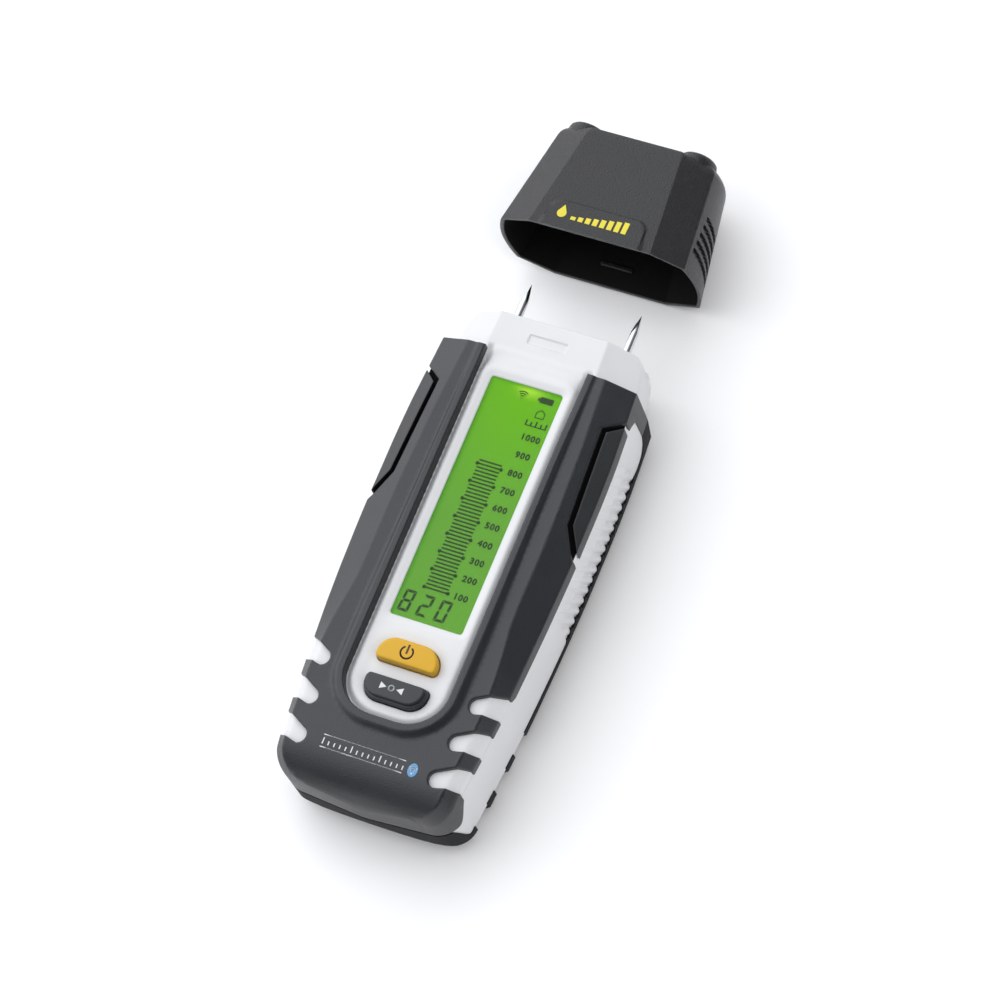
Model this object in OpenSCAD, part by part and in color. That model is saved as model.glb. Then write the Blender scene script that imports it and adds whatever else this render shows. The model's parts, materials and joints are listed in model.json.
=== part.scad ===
// Pin-type moisture meter with a pull-off protective cap.
// The meter lies on its back: X runs across it, Y along it towards the electrodes, Z out of the display.
// The cap is drawn pulled off, in line with the meter, and slides back along Y onto the white head.

/* [Body] */
// Half width of the grips where they are widest
body_half_w = 28.4; // [28.2:0.1:28.8]
// Height of the flat front of the grips above the back
front_z = 31.5; // [31.3:0.1:31.8]
// Y of the lower end of the meter
body_end_y = -95.8; // [-96.2:0.1:-95.5]
// Y where the grips stop and the bare head begins
grip_top_y = 26.5; // [26.3:0.1:26.8]
// Y of the end face of the head, where the electrodes come out
head_top_y = 37.6; // [37.4:0.1:38]
// Height of the plane where the front and rear shells meet, also the electrode axis
part_z = 14.4; // [14.2:0.1:14.6]
// Height of the raised collar round the white panel, above the flat front
collar_h = 1.1; // [0.8:0.1:1.2]
// Thickness of the dark grips over the white housing
grip_t = 2.2; // [2.1:0.05:2.3]
// Wall of the white housing
wall_t = 1.6; // [1.5:0.1:1.7]

/* [Display and keys] */
// Half width of the display window
window_half_w = 9.9; // [9.6:0.1:10.2]
// Y of the lower edge of the display window
window_y0 = -48; // [-48.5:0.1:-47.5]
// Y of the upper edge of the display window
window_y1 = 19.6; // [19:0.1:20]
// Height that the keys stand above the white panel
key_rise = 3.4; // [3:0.1:3.5]
// Distance that a key moves when it is pressed
key_travel = 0.6; // [0.4:0.1:0.6]

/* [Electrodes] */
// Distance of each electrode from the centre line
pin_x = 15.5; // [15.3:0.1:15.7]
// Radius of an electrode
pin_r = 1.1; // [1:0.05:1.2]
// Length of the bare electrode, point included
pin_out = 14.6; // [13:0.1:15]
// Length of the sharp point
point_len = 4.4; // [4:0.1:5]
// Radius of the threaded shank inside the socket
shank_r = 0.9; // [0.8:0.05:0.95]

/* [Cap] */
// Distance that the cap is pulled off in the rest position
cap_travel = 35.5; // [35:0.1:35.8]
// Length of the cap, without its two end bosses
cap_len = 31.5; // [31.2:0.1:31.8]
// Wall of the cap
cap_wall = 1.2; // [1.1:0.05:1.25]

/* [Batteries] */
// Diameter of a cell (AAA size)
cell_d = 10.5; // [10.3:0.1:10.5]
// Length of a cell without its nub
cell_len = 43.7; // [43:0.1:43.8]

/* [Hidden] */

smooth = 48;        // facets asked for on a full circle
reach = 60;         // longer than any half width, for cutting blocks
grip_dark = [0.22, 0.23, 0.25];
shell_white = [0.93, 0.93, 0.94];
steel = [0.72, 0.73, 0.75];

// Plan outline: each station is Y and how much narrower the half width is there
end_corner_r = 7.2;
end_corner_y = body_end_y + 1.2 + end_corner_r;
stations = [[grip_top_y, 1.8], [6, 0.3], [-6, 0], [-19, 0], [-36, 0.4], [-48, 0.9], [-60, 1.55], [-74, 2.7],
    [end_corner_y, 4]];

// Slopes of the bevels between the flat faces and the sides
front_bevel_x = 20.2;
front_slope = 0.5;
rear_bevel_x = 19;
rear_slope = 0.45;

// Nose of the lower end, seen from the side
nose_r = 11;
heel_r = 9;

// Heights of the lines that bound the white side strips
skirt_z = 23.3;
sill_z = 8.3;
trim_y0 = -90;
trim_y1 = 21.4;

panel_z = front_z - grip_t;
panel_under_z = panel_z - wall_t;
panel_half_w = 14.1;
panel_end_y = -74.7;
collar_w = 1.65;

// Three notches a side, one pitch apart
notch_pitch = 10.2;
notch_y = -64.2;
notch_r = 2.25;
notch_x = 21.4;
rear_notch_shift = -1.2;

// Display stack, from the window down to the board
board_top_z = 21.6;
board_t = 1.6;
board_z = board_top_z - board_t;
guide_z0 = 21.9;
lcd_z0 = 24.6;
lcd_t = 1.9;

// Keys: half width, lower Y, upper Y, lower corner radius, upper corner radius
power_key = [8.1, -60.4, -54.2, 1.2, 4.6];
mode_key = [8.4, -70.6, -64.4, 4.4, 1.2];
power_switch_y = -57.1;
mode_switch_y = -67.4;
key_gap = 0.25;
switch_h = 3.5;
plunger_r = 1.7;
plunger_rise = key_travel + 0.4;

// Electrode sockets
socket_r = 3;
socket_y0 = 24;
shank_y0 = 30;

// Screw posts: X and Y of the right-hand ones
housing_posts = [[18.6, 14], [16.2, -79]];
board_posts = [[18.6, -8], [18.6, -50]];

// Battery bay in the rear housing
door_half_w = 13;
door_y0 = -64;
door_y1 = -4;
door_z = 0.3;
door_t = 2;
door_gap = 0.3;
bay_half_w = 11.9;
bay_y0 = -60.6;
bay_y1 = -10.4;
bay_roof_z = 13.8;
bay_wall = 1.2;
cell_x = 5.6;
cell_z = 8.3;
nub_len = 0.8;
plate_t = 0.4;
spring_wire = 0.28;
spring_room = bay_y1 - bay_y0 - 2 * plate_t - cell_len - nub_len;
hook_x = 7;
hook_w = 3.4;
hinge_r = 0.9;
hinge_y = door_y1 - door_gap - hinge_r;
hinge_z = door_z + door_t / 2;

// Cap outlines: flat corner, bevel corner, side bulge, rear bevel corner, rear flat corner
cap_y0 = grip_top_y + 0.3 + cap_travel;
cap_shoulder_y = cap_y0 + cap_len - 2.8;
cap_mouth = [[16.9, 31.5], [24.7, 27.85], 2.9, [24.3, 4.4], [16, 1]];
cap_end = [[13.4, 27.7], [21.2, 24], 2.3, [20.6, 8], [12.8, 5]];
cap_boss_r = 5.1;
cap_boss_x = 15;
cap_boss_z = 19.9;
cap_boss_y0 = 78;
cap_boss_y1 = -body_end_y;

// ---------- outline helpers ----------

// Points of a circular arc
function arc(centre, r, from, to, steps = 8) =
    [for (i = [0:steps]) let (a = from + (to - from) * i / steps) centre + r * [cos(a), sin(a)]];

// A right-hand outline together with its mirror image
function mirrored(points) =
    concat(points, [for (i = [len(points) - 1:-1:0]) [-points[i][0], points[i][1]]]);

// Plan of the body seen from the front, set in by e
function plan_points(e) = mirrored(concat(
    [for (s = stations) [body_half_w - s[1] - e, s[0]]],
    arc([body_half_w - 4 - end_corner_r, end_corner_y], end_corner_r - e, 0, -90),
    [[1, body_end_y + e]]));

// Section across the body, X and Z, set in by e
function section_points(e) = mirrored([
    [front_bevel_x - 0.236 * e, front_z - e],
    [30, front_z - 1.118 * e - front_slope * (30 - front_bevel_x)],
    [30, 1.097 * e + rear_slope * (30 - rear_bevel_x)],
    [rear_bevel_x - 0.215 * e, e]]);

// Side profile, Y and Z, set in by e
function profile_points(e) = concat(
    [[grip_top_y, front_z - e]],
    arc([body_end_y + nose_r, front_z - nose_r], nose_r - e, 90, 180, 12),
    arc([body_end_y + heel_r, heel_r], heel_r - e, 180, 270, 8),
    [[grip_top_y, e]]);

// Rounded key outline, larger by grow
function key_points(k, grow = 0) = mirrored(concat(
    arc([k[0] - k[4], k[2] - k[4]], k[4] + grow, 90, 0),
    arc([k[0] - k[3], k[1] + k[3]], k[3] + grow, 0, -90)));

// Rectangle with round corners, larger by grow
function window_points(grow = 0, r = 1.5) = mirrored(concat(
    arc([window_half_w - r, window_y1 - r], r + grow, 90, 0, 4),
    arc([window_half_w - r, window_y0 + r], r + grow, 0, -90, 4)));

// U-shaped opening of the front grip
function panel_points(grow = 0, r = 11) = mirrored(concat(
    [[panel_half_w + grow, grip_top_y + 5]],
    arc([panel_half_w - r, panel_end_y + r], r + grow, 0, -90)));

// Trapezium of a grip pad on the right-hand side, larger by grow
function pad_points(grow = 0) = [
    [31, 21.2 + grow], [23.4 - grow, 14 + grow / 2], [24.9 - grow, -12 - grow / 2], [31, -23.6 - grow]];

// One notch on the right-hand side: a round inner end that widens and rises outwards
function notch_points() = concat(
    [[31, -57.2], [26.9, -58.7]],
    arc([notch_x, notch_y], notch_r, 110, 262, 6),
    [[26.9, -64.9], [31, -62.6]]);

// Right-hand outline of the cap for one set of corners, set in by t
function cap_points(o, t) = mirrored(concat(
    [[o[0][0] - 0.3 * t, o[0][1] - t]],
    [for (i = [0:6]) let (u = i / 6)
        [o[1][0] * (1 - u) + o[3][0] * u + 4 * o[2] * u * (1 - u) - t,
         (o[1][1] - 0.55 * t) * (1 - u) + (o[3][1] + 0.55 * t) * u]],
    [[o[4][0] - 0.3 * t, o[4][1] + t]]));

// Ring of a conical coil spring: centre line point at turn u of n
function coil_point(u, n, r0, r1, pitch) =
    let (r = r0 + (r1 - r0) * u / n) [r * cos(360 * u), r * sin(360 * u), pitch * u];

// ---------- shape helpers ----------

// Extrudes an XY outline between two heights
module upright(z0, z1) translate([0, 0, z0]) linear_extrude(z1 - z0) children();

// Extrudes an XZ outline between two Y values
module along_y(y0, y1) translate([0, y1, 0]) rotate([90, 0, 0]) linear_extrude(y1 - y0) children();

// Extrudes a YZ outline between two X values
module along_x(x0, x1) translate([x0, 0, 0]) rotate([90, 0, 90]) linear_extrude(x1 - x0) children();

// Box given by two corners
module block(low, high) translate(low) cube(high - low);

// The same thing on the right and on the left
module both_sides() {
    children();
    mirror([1, 0, 0]) children();
}

// Round rod along Y
module rod_y(x, z, r, y0, y1) translate([x, y1, z]) rotate([90, 0, 0]) cylinder(h = y1 - y0, r = r, $fn = smooth);

// Outer form of the grips, set in by e
module body_form(e) {
    intersection() {
        upright(-1, front_z + 1) polygon(plan_points(e));
        along_y(body_end_y - 1, grip_top_y) polygon(section_points(e));
        along_x(-reach, reach) polygon(profile_points(e));
    }
}

// Bare head, set in by e
module head_form(e) {
    intersection() {
        upright(0, front_z) polygon(mirrored([[22.95 - e, head_top_y - e], [24.9 - e, 20]]));
        along_y(20, head_top_y) polygon(mirrored([
            [15.4 - 0.2 * e, 28.4 - e], [25, 22.3 - e], [25 - e, 16], [21.6 - e, 7.2 + 0.3 * e], [15, 4.3 + e]]));
    }
}

// White shell before it is split into its two halves
module housing_form() {
    difference() {
        union() {
            body_form(grip_t);
            head_form(0);
        }
        difference() {
            body_form(grip_t + wall_t);
            block([-reach, grip_top_y - wall_t, -1], [reach, grip_top_y + 1, front_z]);
        }
        intersection() {
            head_form(wall_t);
            block([-reach, 20, 0], [reach, head_top_y - 3, front_z]);
        }
        both_sides() rod_y(pin_x, part_z, socket_r, 20, head_top_y + 1);
    }
}

// Webs in the head that hold the electrode sockets
module socket_webs() {
    both_sides() difference() {
        intersection() {
            block([pin_x - 4.5, 28, 0], [pin_x + 4.5, head_top_y - 3, front_z]);
            head_form(0.8);
        }
        rod_y(pin_x, part_z, socket_r, 20, head_top_y + 1);
    }
}

module front_half() block([-reach, -2 * reach, part_z], [reach, reach, front_z + 9]);
module rear_half() block([-reach, -2 * reach, -9], [reach, reach, part_z]);

// Places its children at both right-hand and left-hand posts
module at_posts(posts) both_sides() for (p = posts) translate([p[0], p[1], 0]) children();

// Region of the front grip: the front, and the side walls above and below the white strips
module front_grip_zone() {
    block([-reach, -2 * reach, skirt_z], [reach, reach, front_z + 1]);
    block([-reach, trim_y1, part_z], [reach, reach, front_z]);
    block([-reach, -2 * reach, part_z], [reach, trim_y0, front_z]);
}

// Region of the rear grip
module rear_grip_zone() {
    block([-reach, -2 * reach, -1], [reach, reach, sill_z]);
    block([-reach, trim_y1, 0], [reach, reach, part_z]);
    block([-reach, -2 * reach, 0], [reach, trim_y0, part_z]);
}

// The three notches of both sides between two heights
module notches(z0, z1, shift) {
    both_sides() for (i = [0:2])
        translate([0, shift - i * notch_pitch - (i > 0 ? 0.2 : 0), 0]) translate([-1.2 * i, 0, 0])
            upright(z0, z1) polygon(notch_points());
}

// ---------- housing and grips ----------

module front_housing() color(shell_white) {
    difference() {
        union() {
            intersection() {
                housing_form();
                front_half();
            }
            intersection() {
                socket_webs();
                front_half();
            }
            intersection() {
                body_form(grip_t + 0.4);
                union() {
                    at_posts(housing_posts) translate([0, 0, part_z]) cylinder(h = 20, r = 2.8, $fn = smooth);
                    at_posts(board_posts) translate([0, 0, board_top_z]) cylinder(h = 20, r = 2.2, $fn = smooth);
                }
            }
        }
        upright(panel_under_z - 1, panel_z + 1) polygon(window_points());
        upright(panel_under_z - 1, panel_z + 1) polygon(key_points(power_key, key_gap));
        upright(panel_under_z - 1, panel_z + 1) polygon(key_points(mode_key, key_gap));
        block([-5.2, 31, 27.6], [5.2, 33.5, 30]);
        at_posts(housing_posts) translate([0, 0, part_z - 1]) cylinder(h = 10.6, r = 1.1, $fn = smooth);
        at_posts(board_posts) translate([0, 0, board_top_z - 1]) cylinder(h = 4.6, r = 0.9, $fn = smooth);
    }
}

module rear_housing() color(shell_white) {
    difference() {
        union() {
            intersection() {
                housing_form();
                rear_half();
            }
            intersection() {
                socket_webs();
                rear_half();
            }
            intersection() {
                body_form(grip_t + 0.4);
                at_posts(housing_posts) cylinder(h = part_z, r = 3.6, $fn = smooth);
            }
            block([-bay_half_w - bay_wall, bay_y0 - bay_wall, grip_t + 0.6],
                  [bay_half_w + bay_wall, bay_y1 + bay_wall, bay_roof_z + bay_wall]);
        }
        block([-bay_half_w, bay_y0, -1], [bay_half_w, bay_y1, bay_roof_z]);
        block([-door_half_w, door_y0, -1], [door_half_w, door_y1, grip_t + wall_t]);
        block([-5.2, 31, 3], [5.2, 33.5, 5.1]);
        at_posts(housing_posts) translate([0, 0, -1]) cylinder(h = part_z + 2, r = 1.4, $fn = smooth);
        at_posts(housing_posts) translate([0, 0, -1]) cylinder(h = 6, r = 2.6, $fn = smooth);
    }
}

// Collar that stands up round the white panel
module collar() {
    intersection() {
        upright(front_z - grip_t, front_z + collar_h) polygon(panel_points(collar_w));
        block([-reach, -2 * reach, 0], [reach, grip_top_y, front_z + 9]);
    }
}

module front_grip() color(grip_dark) {
    difference() {
        union() {
            intersection() {
                body_form(0);
                front_grip_zone();
            }
            collar();
        }
        body_form(grip_t);
        upright(panel_under_z, front_z + 9) polygon(panel_points());
        notches(part_z, front_z + 1, 0);
        difference() {
            both_sides() upright(part_z, front_z + 1) polygon(pad_points(1));
            body_form(1.2);
        }
    }
}

module rear_grip() color(grip_dark) {
    difference() {
        intersection() {
            body_form(0);
            rear_grip_zone();
        }
        body_form(grip_t);
        block([-door_half_w, door_y0, -1], [door_half_w, door_y1, 5]);
        notches(-1, part_z, rear_notch_shift);
        at_posts(housing_posts) translate([0, 0, -1]) cylinder(h = 6, r = 3, $fn = smooth);
    }
}

// White ribbed strip that covers the joint of the two shells on the right-hand side
module side_trim() {
    rib_count = 16;
    rib_pitch = 2.95;
    narrowing = [for (i = [len(stations) - 1:-1:0]) stations[i]];
    difference() {
        intersection() {
            body_form(0.3);
            along_x(0, reach) polygon([[trim_y1, 16.5], [trim_y1 - 3.5, skirt_z], [trim_y0 + 6, skirt_z],
                [trim_y0, 17], [trim_y0, 12], [trim_y0 + 4, sill_z], [trim_y1 - 4, sill_z]]);
        }
        body_form(grip_t);
        for (i = [0:rib_count - 1]) let (y = 13.5 - i * rib_pitch)
            translate([body_half_w - lookup(y, narrowing), y, 16]) rotate([18, 0, 0])
                cube([1.6, 0.8, 11], center = true);
    }
}

module side_trim_right() color(shell_white) side_trim();
module side_trim_left() color(shell_white) mirror([1, 0, 0]) side_trim();

// Inlaid pad of the right-hand grip
module grip_pad() {
    difference() {
        intersection() {
            body_form(0);
            upright(skirt_z, front_z) polygon(pad_points());
        }
        body_form(1.2);
    }
}

module grip_pad_right() color(grip_dark) grip_pad();
module grip_pad_left() color(grip_dark) mirror([1, 0, 0]) grip_pad();

// ---------- display ----------

module display_window() color([0.75, 0.85, 0.7, 0.4]) {
    upright(panel_under_z - 1, panel_under_z) polygon(window_points(1.6));
    upright(panel_under_z, panel_z - 0.4) polygon(window_points(-0.1));
}

module display_panel() color([0.42, 0.66, 0.24])
    block([-11.8, window_y0 - 4.6, lcd_z0], [11.8, window_y1 + 1.6, lcd_z0 + lcd_t]);

module backlight_guide() color([0.75, 0.9, 0.6])
    block([-11.4, window_y0 - 1.2, guide_z0], [11.4, window_y1 + 0.8, lcd_z0]);

// Three side-firing lamps on the board, against the upper end of the guide
module backlight_leds() color([0.95, 0.95, 0.8])
    for (x = [-7, 0, 7]) block([x - 1.9, window_y1 + 0.8, board_top_z], [x + 1.9, window_y1 + 2, lcd_z0 - 0.6]);

module display_connector() color([0.3, 0.3, 0.3])
    block([-10.5, window_y0 - 4.2, board_top_z], [10.5, window_y0 - 1.8, lcd_z0]);

// ---------- keys and switches ----------

// Key cap with a flange that stops under the panel, and a stem that meets the switch plunger
module key_cap(k, stem_y) {
    flange_z = panel_under_z - 0.1;
    upright(flange_z - 0.9, flange_z) polygon(key_points(k, 0.8));
    upright(flange_z, panel_z + key_rise) polygon(key_points(k));
    upright(board_top_z + switch_h + plunger_rise, flange_z - 0.9)
        translate([0, stem_y]) square([4.4, 3], center = true);
}

// Moving plunger of a switch
module plunger(y) {
    translate([0, y, board_top_z + switch_h - 0.9]) cylinder(h = plunger_rise + 0.9, r = plunger_r, $fn = smooth);
}

// Body of a short-stroke switch on the board
module switch_body(y) {
    translate([0, y, board_top_z]) difference() {
        block([-3, -3, 0], [3, 3, switch_h]);
        translate([0, 0, switch_h - 1.8]) cylinder(h = 3, r = plunger_r + 0.08, $fn = smooth);
    }
}

module power_button() color([0.86, 0.69, 0.2]) key_cap(power_key, power_switch_y);
module mode_button() color([0.25, 0.26, 0.28]) key_cap(mode_key, mode_switch_y);
module power_plunger() color([0.1, 0.1, 0.1]) plunger(power_switch_y);
module mode_plunger() color([0.1, 0.1, 0.1]) plunger(mode_switch_y);
module power_switch() color([0.3, 0.3, 0.32]) switch_body(power_switch_y);
module mode_switch() color([0.3, 0.3, 0.32]) switch_body(mode_switch_y);

// ---------- electronics ----------

module main_board() color([0.1, 0.4, 0.2]) {
    difference() {
        block([-20.4, -84, board_z], [20.4, 23.6, board_top_z]);
        at_posts(housing_posts) translate([0, 0, board_z - 1]) cylinder(h = 4, r = 3.3, $fn = smooth);
        both_sides() block([16, -90, board_z - 1], [22, -79, board_top_z + 1]);
        at_posts(board_posts) translate([0, 0, board_z - 1]) cylinder(h = 4, r = 1.1, $fn = smooth);
    }
}

module microcontroller() color([0.12, 0.12, 0.13]) block([-5, -40, board_z - 1.4], [5, -30, board_z]);

module radio_module() color([0.65, 0.66, 0.68]) block([-6, -83, board_top_z], [6, -73.5, board_top_z + 2]);

// Passive parts on the underside of the board, and one capacitor on its end
module board_components() color([0.5, 0.42, 0.3]) {
    for (i = [0:4]) block([-15, -12 - i * 4, board_z - 0.9], [-12, -10.4 - i * 4, board_z]);
    for (i = [0:4]) block([12, -12 - i * 4, board_z - 0.9], [15, -10.4 - i * 4, board_z]);
    block([-3.4, 2, board_z - 1.6], [3.4, 6, board_z]);
    translate([10, 8, board_z - 4]) cylinder(h = 4, r = 2.5, $fn = smooth);
}

module board_screws() color(steel) at_posts(board_posts) {
    translate([0, 0, board_z - 1.4]) cylinder(h = 1.4, r = 1.8, $fn = smooth);
    translate([0, 0, board_z]) cylinder(h = board_t + 3, r = 0.9, $fn = smooth);
}

// ---------- electrodes ----------

module electrode(x) {
    tip_y = head_top_y + pin_out;
    rod_y(x, part_z, shank_r, shank_y0, head_top_y);
    rod_y(x, part_z, pin_r, head_top_y, tip_y - point_len);
    translate([x, tip_y - point_len, part_z]) rotate([-90, 0, 0])
        cylinder(h = point_len, r1 = pin_r, r2 = 0.08, $fn = smooth);
}

// Brass socket clamped between the shells; the electrode is screwed into it
module socket(x) {
    difference() {
        union() {
            rod_y(x, part_z, socket_r, socket_y0, head_top_y);
            rod_y(x, part_z, 4, 25.5, 27.5);
        }
        rod_y(x, part_z, shank_r, shank_y0, head_top_y + 1);
    }
}

// Spring strip from a socket up to the board
module contact_strip(x) {
    along_x(x - 1.5, x + 1.5) polygon([
        [socket_y0, part_z - 1.5], [socket_y0, board_z], [19.5, board_z], [19.5, board_z - 0.4],
        [socket_y0 - 0.4, board_z - 0.4], [socket_y0 - 0.4, part_z - 1.5]]);
}

module electrode_right() color(steel) electrode(pin_x);
module electrode_left() color(steel) electrode(-pin_x);
module socket_right() color([0.78, 0.62, 0.25]) socket(pin_x);
module socket_left() color([0.78, 0.62, 0.25]) socket(-pin_x);
module contact_strip_right() color([0.8, 0.7, 0.4]) contact_strip(pin_x);
module contact_strip_left() color([0.8, 0.7, 0.4]) contact_strip(-pin_x);

// ---------- batteries ----------

// Door in the back: a round upper edge to turn on, two hooks behind it, and a snap tongue at its lower end
module battery_door() color(grip_dark) {
    half_w = door_half_w - door_gap;
    hook_top = grip_t + wall_t + 0.9;
    tongue_y = door_y0 + 0.9;
    difference() {
        block([-half_w, door_y0 + door_gap, door_z], [half_w, hinge_y, door_z + door_t]);
        for (i = [0:3]) block([-6, door_y0 + 3.2 + i * 2, door_z - 1], [6, door_y0 + 4.2 + i * 2, door_z + 0.7]);
    }
    translate([-half_w, hinge_y, hinge_z]) rotate([0, 90, 0]) cylinder(h = 2 * half_w, r = hinge_r, $fn = smooth);
    both_sides() {
        block([hook_x - hook_w / 2, hinge_y - 0.9, door_z + door_t], [hook_x + hook_w / 2, hinge_y, hook_top]);
        block([hook_x - hook_w / 2, hinge_y, hook_top - 0.7], [hook_x + hook_w / 2, hinge_y + 2.4, hook_top]);
    }
    block([-4, tongue_y, door_z + door_t], [4, tongue_y + 1, grip_t + wall_t + 0.8]);
}

// One cell lying along Y; its nub points up the meter when nub_up is true
module cell(x, nub_up) {
    start_y = bay_y0 + plate_t + (nub_up ? spring_room : nub_len);
    nub_y = nub_up ? start_y + cell_len : start_y - nub_len;
    rod_y(x, cell_z, cell_d / 2, start_y, start_y + cell_len);
    rod_y(x, cell_z, 1.9, nub_y, nub_y + nub_len);
}

module battery_right() color([0.2, 0.35, 0.6]) cell(cell_x, true);
module battery_left() color([0.2, 0.35, 0.6]) cell(-cell_x, false);

// Conical coil spring, swept as one closed tube along +Z
module coil_spring(length, turns = 3.5, r0 = 3.8, r1 = 2.4, wire = spring_wire) {
    pitch = (length - 2 * wire) / turns;
    steps = 16 * turns;
    sides = 6;
    rings = [for (i = [0:steps]) let (u = i / 16, p = coil_point(u, turns, r0, r1, pitch))
        for (k = [0:sides - 1]) let (b = 360 * k / sides)
            p + wire * (cos(b) * [cos(360 * u), sin(360 * u), 0] + sin(b) * [0, 0, 1])];
    walls = [for (i = [0:steps - 1]) for (k = [0:sides - 1]) let (a = i * sides, n = (k + 1) % sides)
        [a + k, a + sides + k, a + sides + n, a + n]];
    first = [for (k = [0:sides - 1]) k];
    last = [for (k = [sides - 1:-1:0]) steps * sides + k];
    polyhedron(rings, concat([first], walls, [last]));
}

module battery_springs() color(steel) {
    inset = plate_t + spring_wire;
    translate([cell_x, bay_y0 + inset, cell_z]) rotate([-90, 0, 0]) coil_spring(spring_room - 0.05);
    translate([-cell_x, bay_y1 - inset, cell_z]) rotate([90, 0, 0]) coil_spring(spring_room - 0.05);
}

// Four contact plates on the end walls of the bay
module battery_plates() color(steel) both_sides() {
    block([cell_x - 4.2, bay_y0, 4], [cell_x + 4.2, bay_y0 + plate_t, 12]);
    block([cell_x - 4.2, bay_y1 - plate_t, 4], [cell_x + 4.2, bay_y1, 12]);
}

// ---------- fasteners ----------

// Cross-recess screws from the back into the front housing
module housing_screws() color(steel) at_posts(housing_posts) {
    difference() {
        translate([0, 0, 3.2]) cylinder(h = 1.8, r = 2.3, $fn = smooth);
        block([-1.4, -0.3, 3], [1.4, 0.3, 4]);
        block([-0.3, -1.4, 3], [0.3, 1.4, 4]);
    }
    translate([0, 0, 5]) cylinder(h = 18, r = 1.1, $fn = smooth);
}

// ---------- cap ----------

// Solid form of the cap, set in by t
module cap_form(t) {
    mouth_y = t > 0 ? cap_y0 - 0.2 : cap_y0;
    hull() {
        along_y(mouth_y, mouth_y + 0.1) polygon(cap_points(cap_mouth, t));
        along_y(cap_shoulder_y - t, cap_shoulder_y - t + 0.1) polygon(cap_points(cap_end, t));
        along_y(cap_y0 + cap_len - t - 0.1, cap_y0 + cap_len - t)
            polygon(mirrored([[cap_end[0][0] - 0.3 * t, cap_end[0][1] - 0.4 - t],
                              [cap_end[4][0] - 0.3 * t, cap_end[4][1] + 0.4 + t]]));
    }
}

module cap_shell() color([0.12, 0.12, 0.13]) {
    groove_count = 5;
    groove_pitch = 2.7;
    difference() {
        union() {
            cap_form(0);
            both_sides() rod_y(cap_boss_x, cap_boss_z, cap_boss_r, cap_boss_y0, cap_boss_y1);
        }
        cap_form(cap_wall);
        both_sides() rod_y(cap_boss_x, cap_boss_z, cap_boss_r - 1.4, cap_boss_y0 - 0.1, cap_boss_y1 - 1.4);
        both_sides() for (i = [0:groove_count - 1])
            translate([27.2 - 0.13 * (i + 2) * groove_pitch, cap_y0 + 5.5 + i * groove_pitch, 16])
                rotate([-8, 0, 8]) cube([1.4, 0.9, 13], center = true);
    }
    // Ribs inside that click into the two recesses of the head
    block([-4.6, cap_y0 + 5, 28.9], [4.6, cap_y0 + 6.4, 30.2]);
    block([-4.6, cap_y0 + 5, 2.3], [4.6, cap_y0 + 6.4, 3.6]);
}

front_housing();
rear_housing();
front_grip();
rear_grip();
side_trim_left();
side_trim_right();
grip_pad_left();
grip_pad_right();
display_window();
display_panel();
backlight_guide();
backlight_leds();
display_connector();
power_button();
mode_button();
power_plunger();
mode_plunger();
power_switch();
mode_switch();
main_board();
microcontroller();
radio_module();
board_components();
board_screws();
electrode_left();
electrode_right();
socket_left();
socket_right();
contact_strip_left();
contact_strip_right();
battery_door();
battery_left();
battery_right();
battery_springs();
battery_plates();
housing_screws();
cap_shell();
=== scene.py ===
import bmesh
import bpy
import math
import numpy as np
from mathutils import Matrix, Vector
from mathutils.geometry import delaunay_2d_cdt
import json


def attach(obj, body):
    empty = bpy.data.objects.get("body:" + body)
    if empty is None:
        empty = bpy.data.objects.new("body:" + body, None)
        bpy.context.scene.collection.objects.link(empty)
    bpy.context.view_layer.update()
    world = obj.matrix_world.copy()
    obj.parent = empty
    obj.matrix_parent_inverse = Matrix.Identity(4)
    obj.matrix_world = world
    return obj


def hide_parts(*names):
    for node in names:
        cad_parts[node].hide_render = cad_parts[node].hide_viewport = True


# Lengths below are in millimetres until mesh_piece() turns them into metres.
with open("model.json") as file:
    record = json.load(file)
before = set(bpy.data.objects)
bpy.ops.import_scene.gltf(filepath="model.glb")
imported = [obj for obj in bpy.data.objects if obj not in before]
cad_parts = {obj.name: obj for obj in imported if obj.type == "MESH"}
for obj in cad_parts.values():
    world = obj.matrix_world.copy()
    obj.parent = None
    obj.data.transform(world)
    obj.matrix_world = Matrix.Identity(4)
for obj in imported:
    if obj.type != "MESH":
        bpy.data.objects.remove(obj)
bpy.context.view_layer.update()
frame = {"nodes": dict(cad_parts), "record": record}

BODY_TOP_Y = 26.5        # where the grips stop and the bare head begins
BODY_END_Y = -95.8       # lower end of the meter
HEAD_TOP_Y = 37.6        # end face of the head
PART_Z = 14.4            # plane where front and rear shells meet
NOTCH_PITCH = 10.2
ARCH_Y0, ARCH_Y1 = 18.0, 21.9   # pointed arch that closes the white side strip
SILL_Z = 5.9                     # upper edge of the rear grip under the strip
TOP_PART_Z = 11.6                # where the two grips meet beyond that arch
WINDOW = (-9.9, -48.0, 9.9, 19.6)        # opening for the display: left, lower, right, upper
LATCH = (-5.2, 31.05, 5.2, 33.55)        # recess in the head that the cap's ribs sit in
LABEL = (-12.5, 4.0, 12.5, 19.0)         # recess for the rear label
U_HALF, U_END_Y, U_R = 14.1, -74.7, 10.5     # opening of the front grip: half width, lower end, radius
U_CENTRE = (3.6, -64.2)                  # centre of its right-hand arc
PIN_X = 15.5                             # the electrodes stand this far from the middle
SIDES = ((1, "right"), (-1, "left"))


# ---------- numbers and curves ----------

def ease(a, b, v):
    """0 below a, 1 above b, smooth between; b may be the smaller one."""
    t = np.clip((np.asarray(v, float) - a) / (b - a), 0, 1)
    return t * t * (3 - 2 * t)


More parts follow.
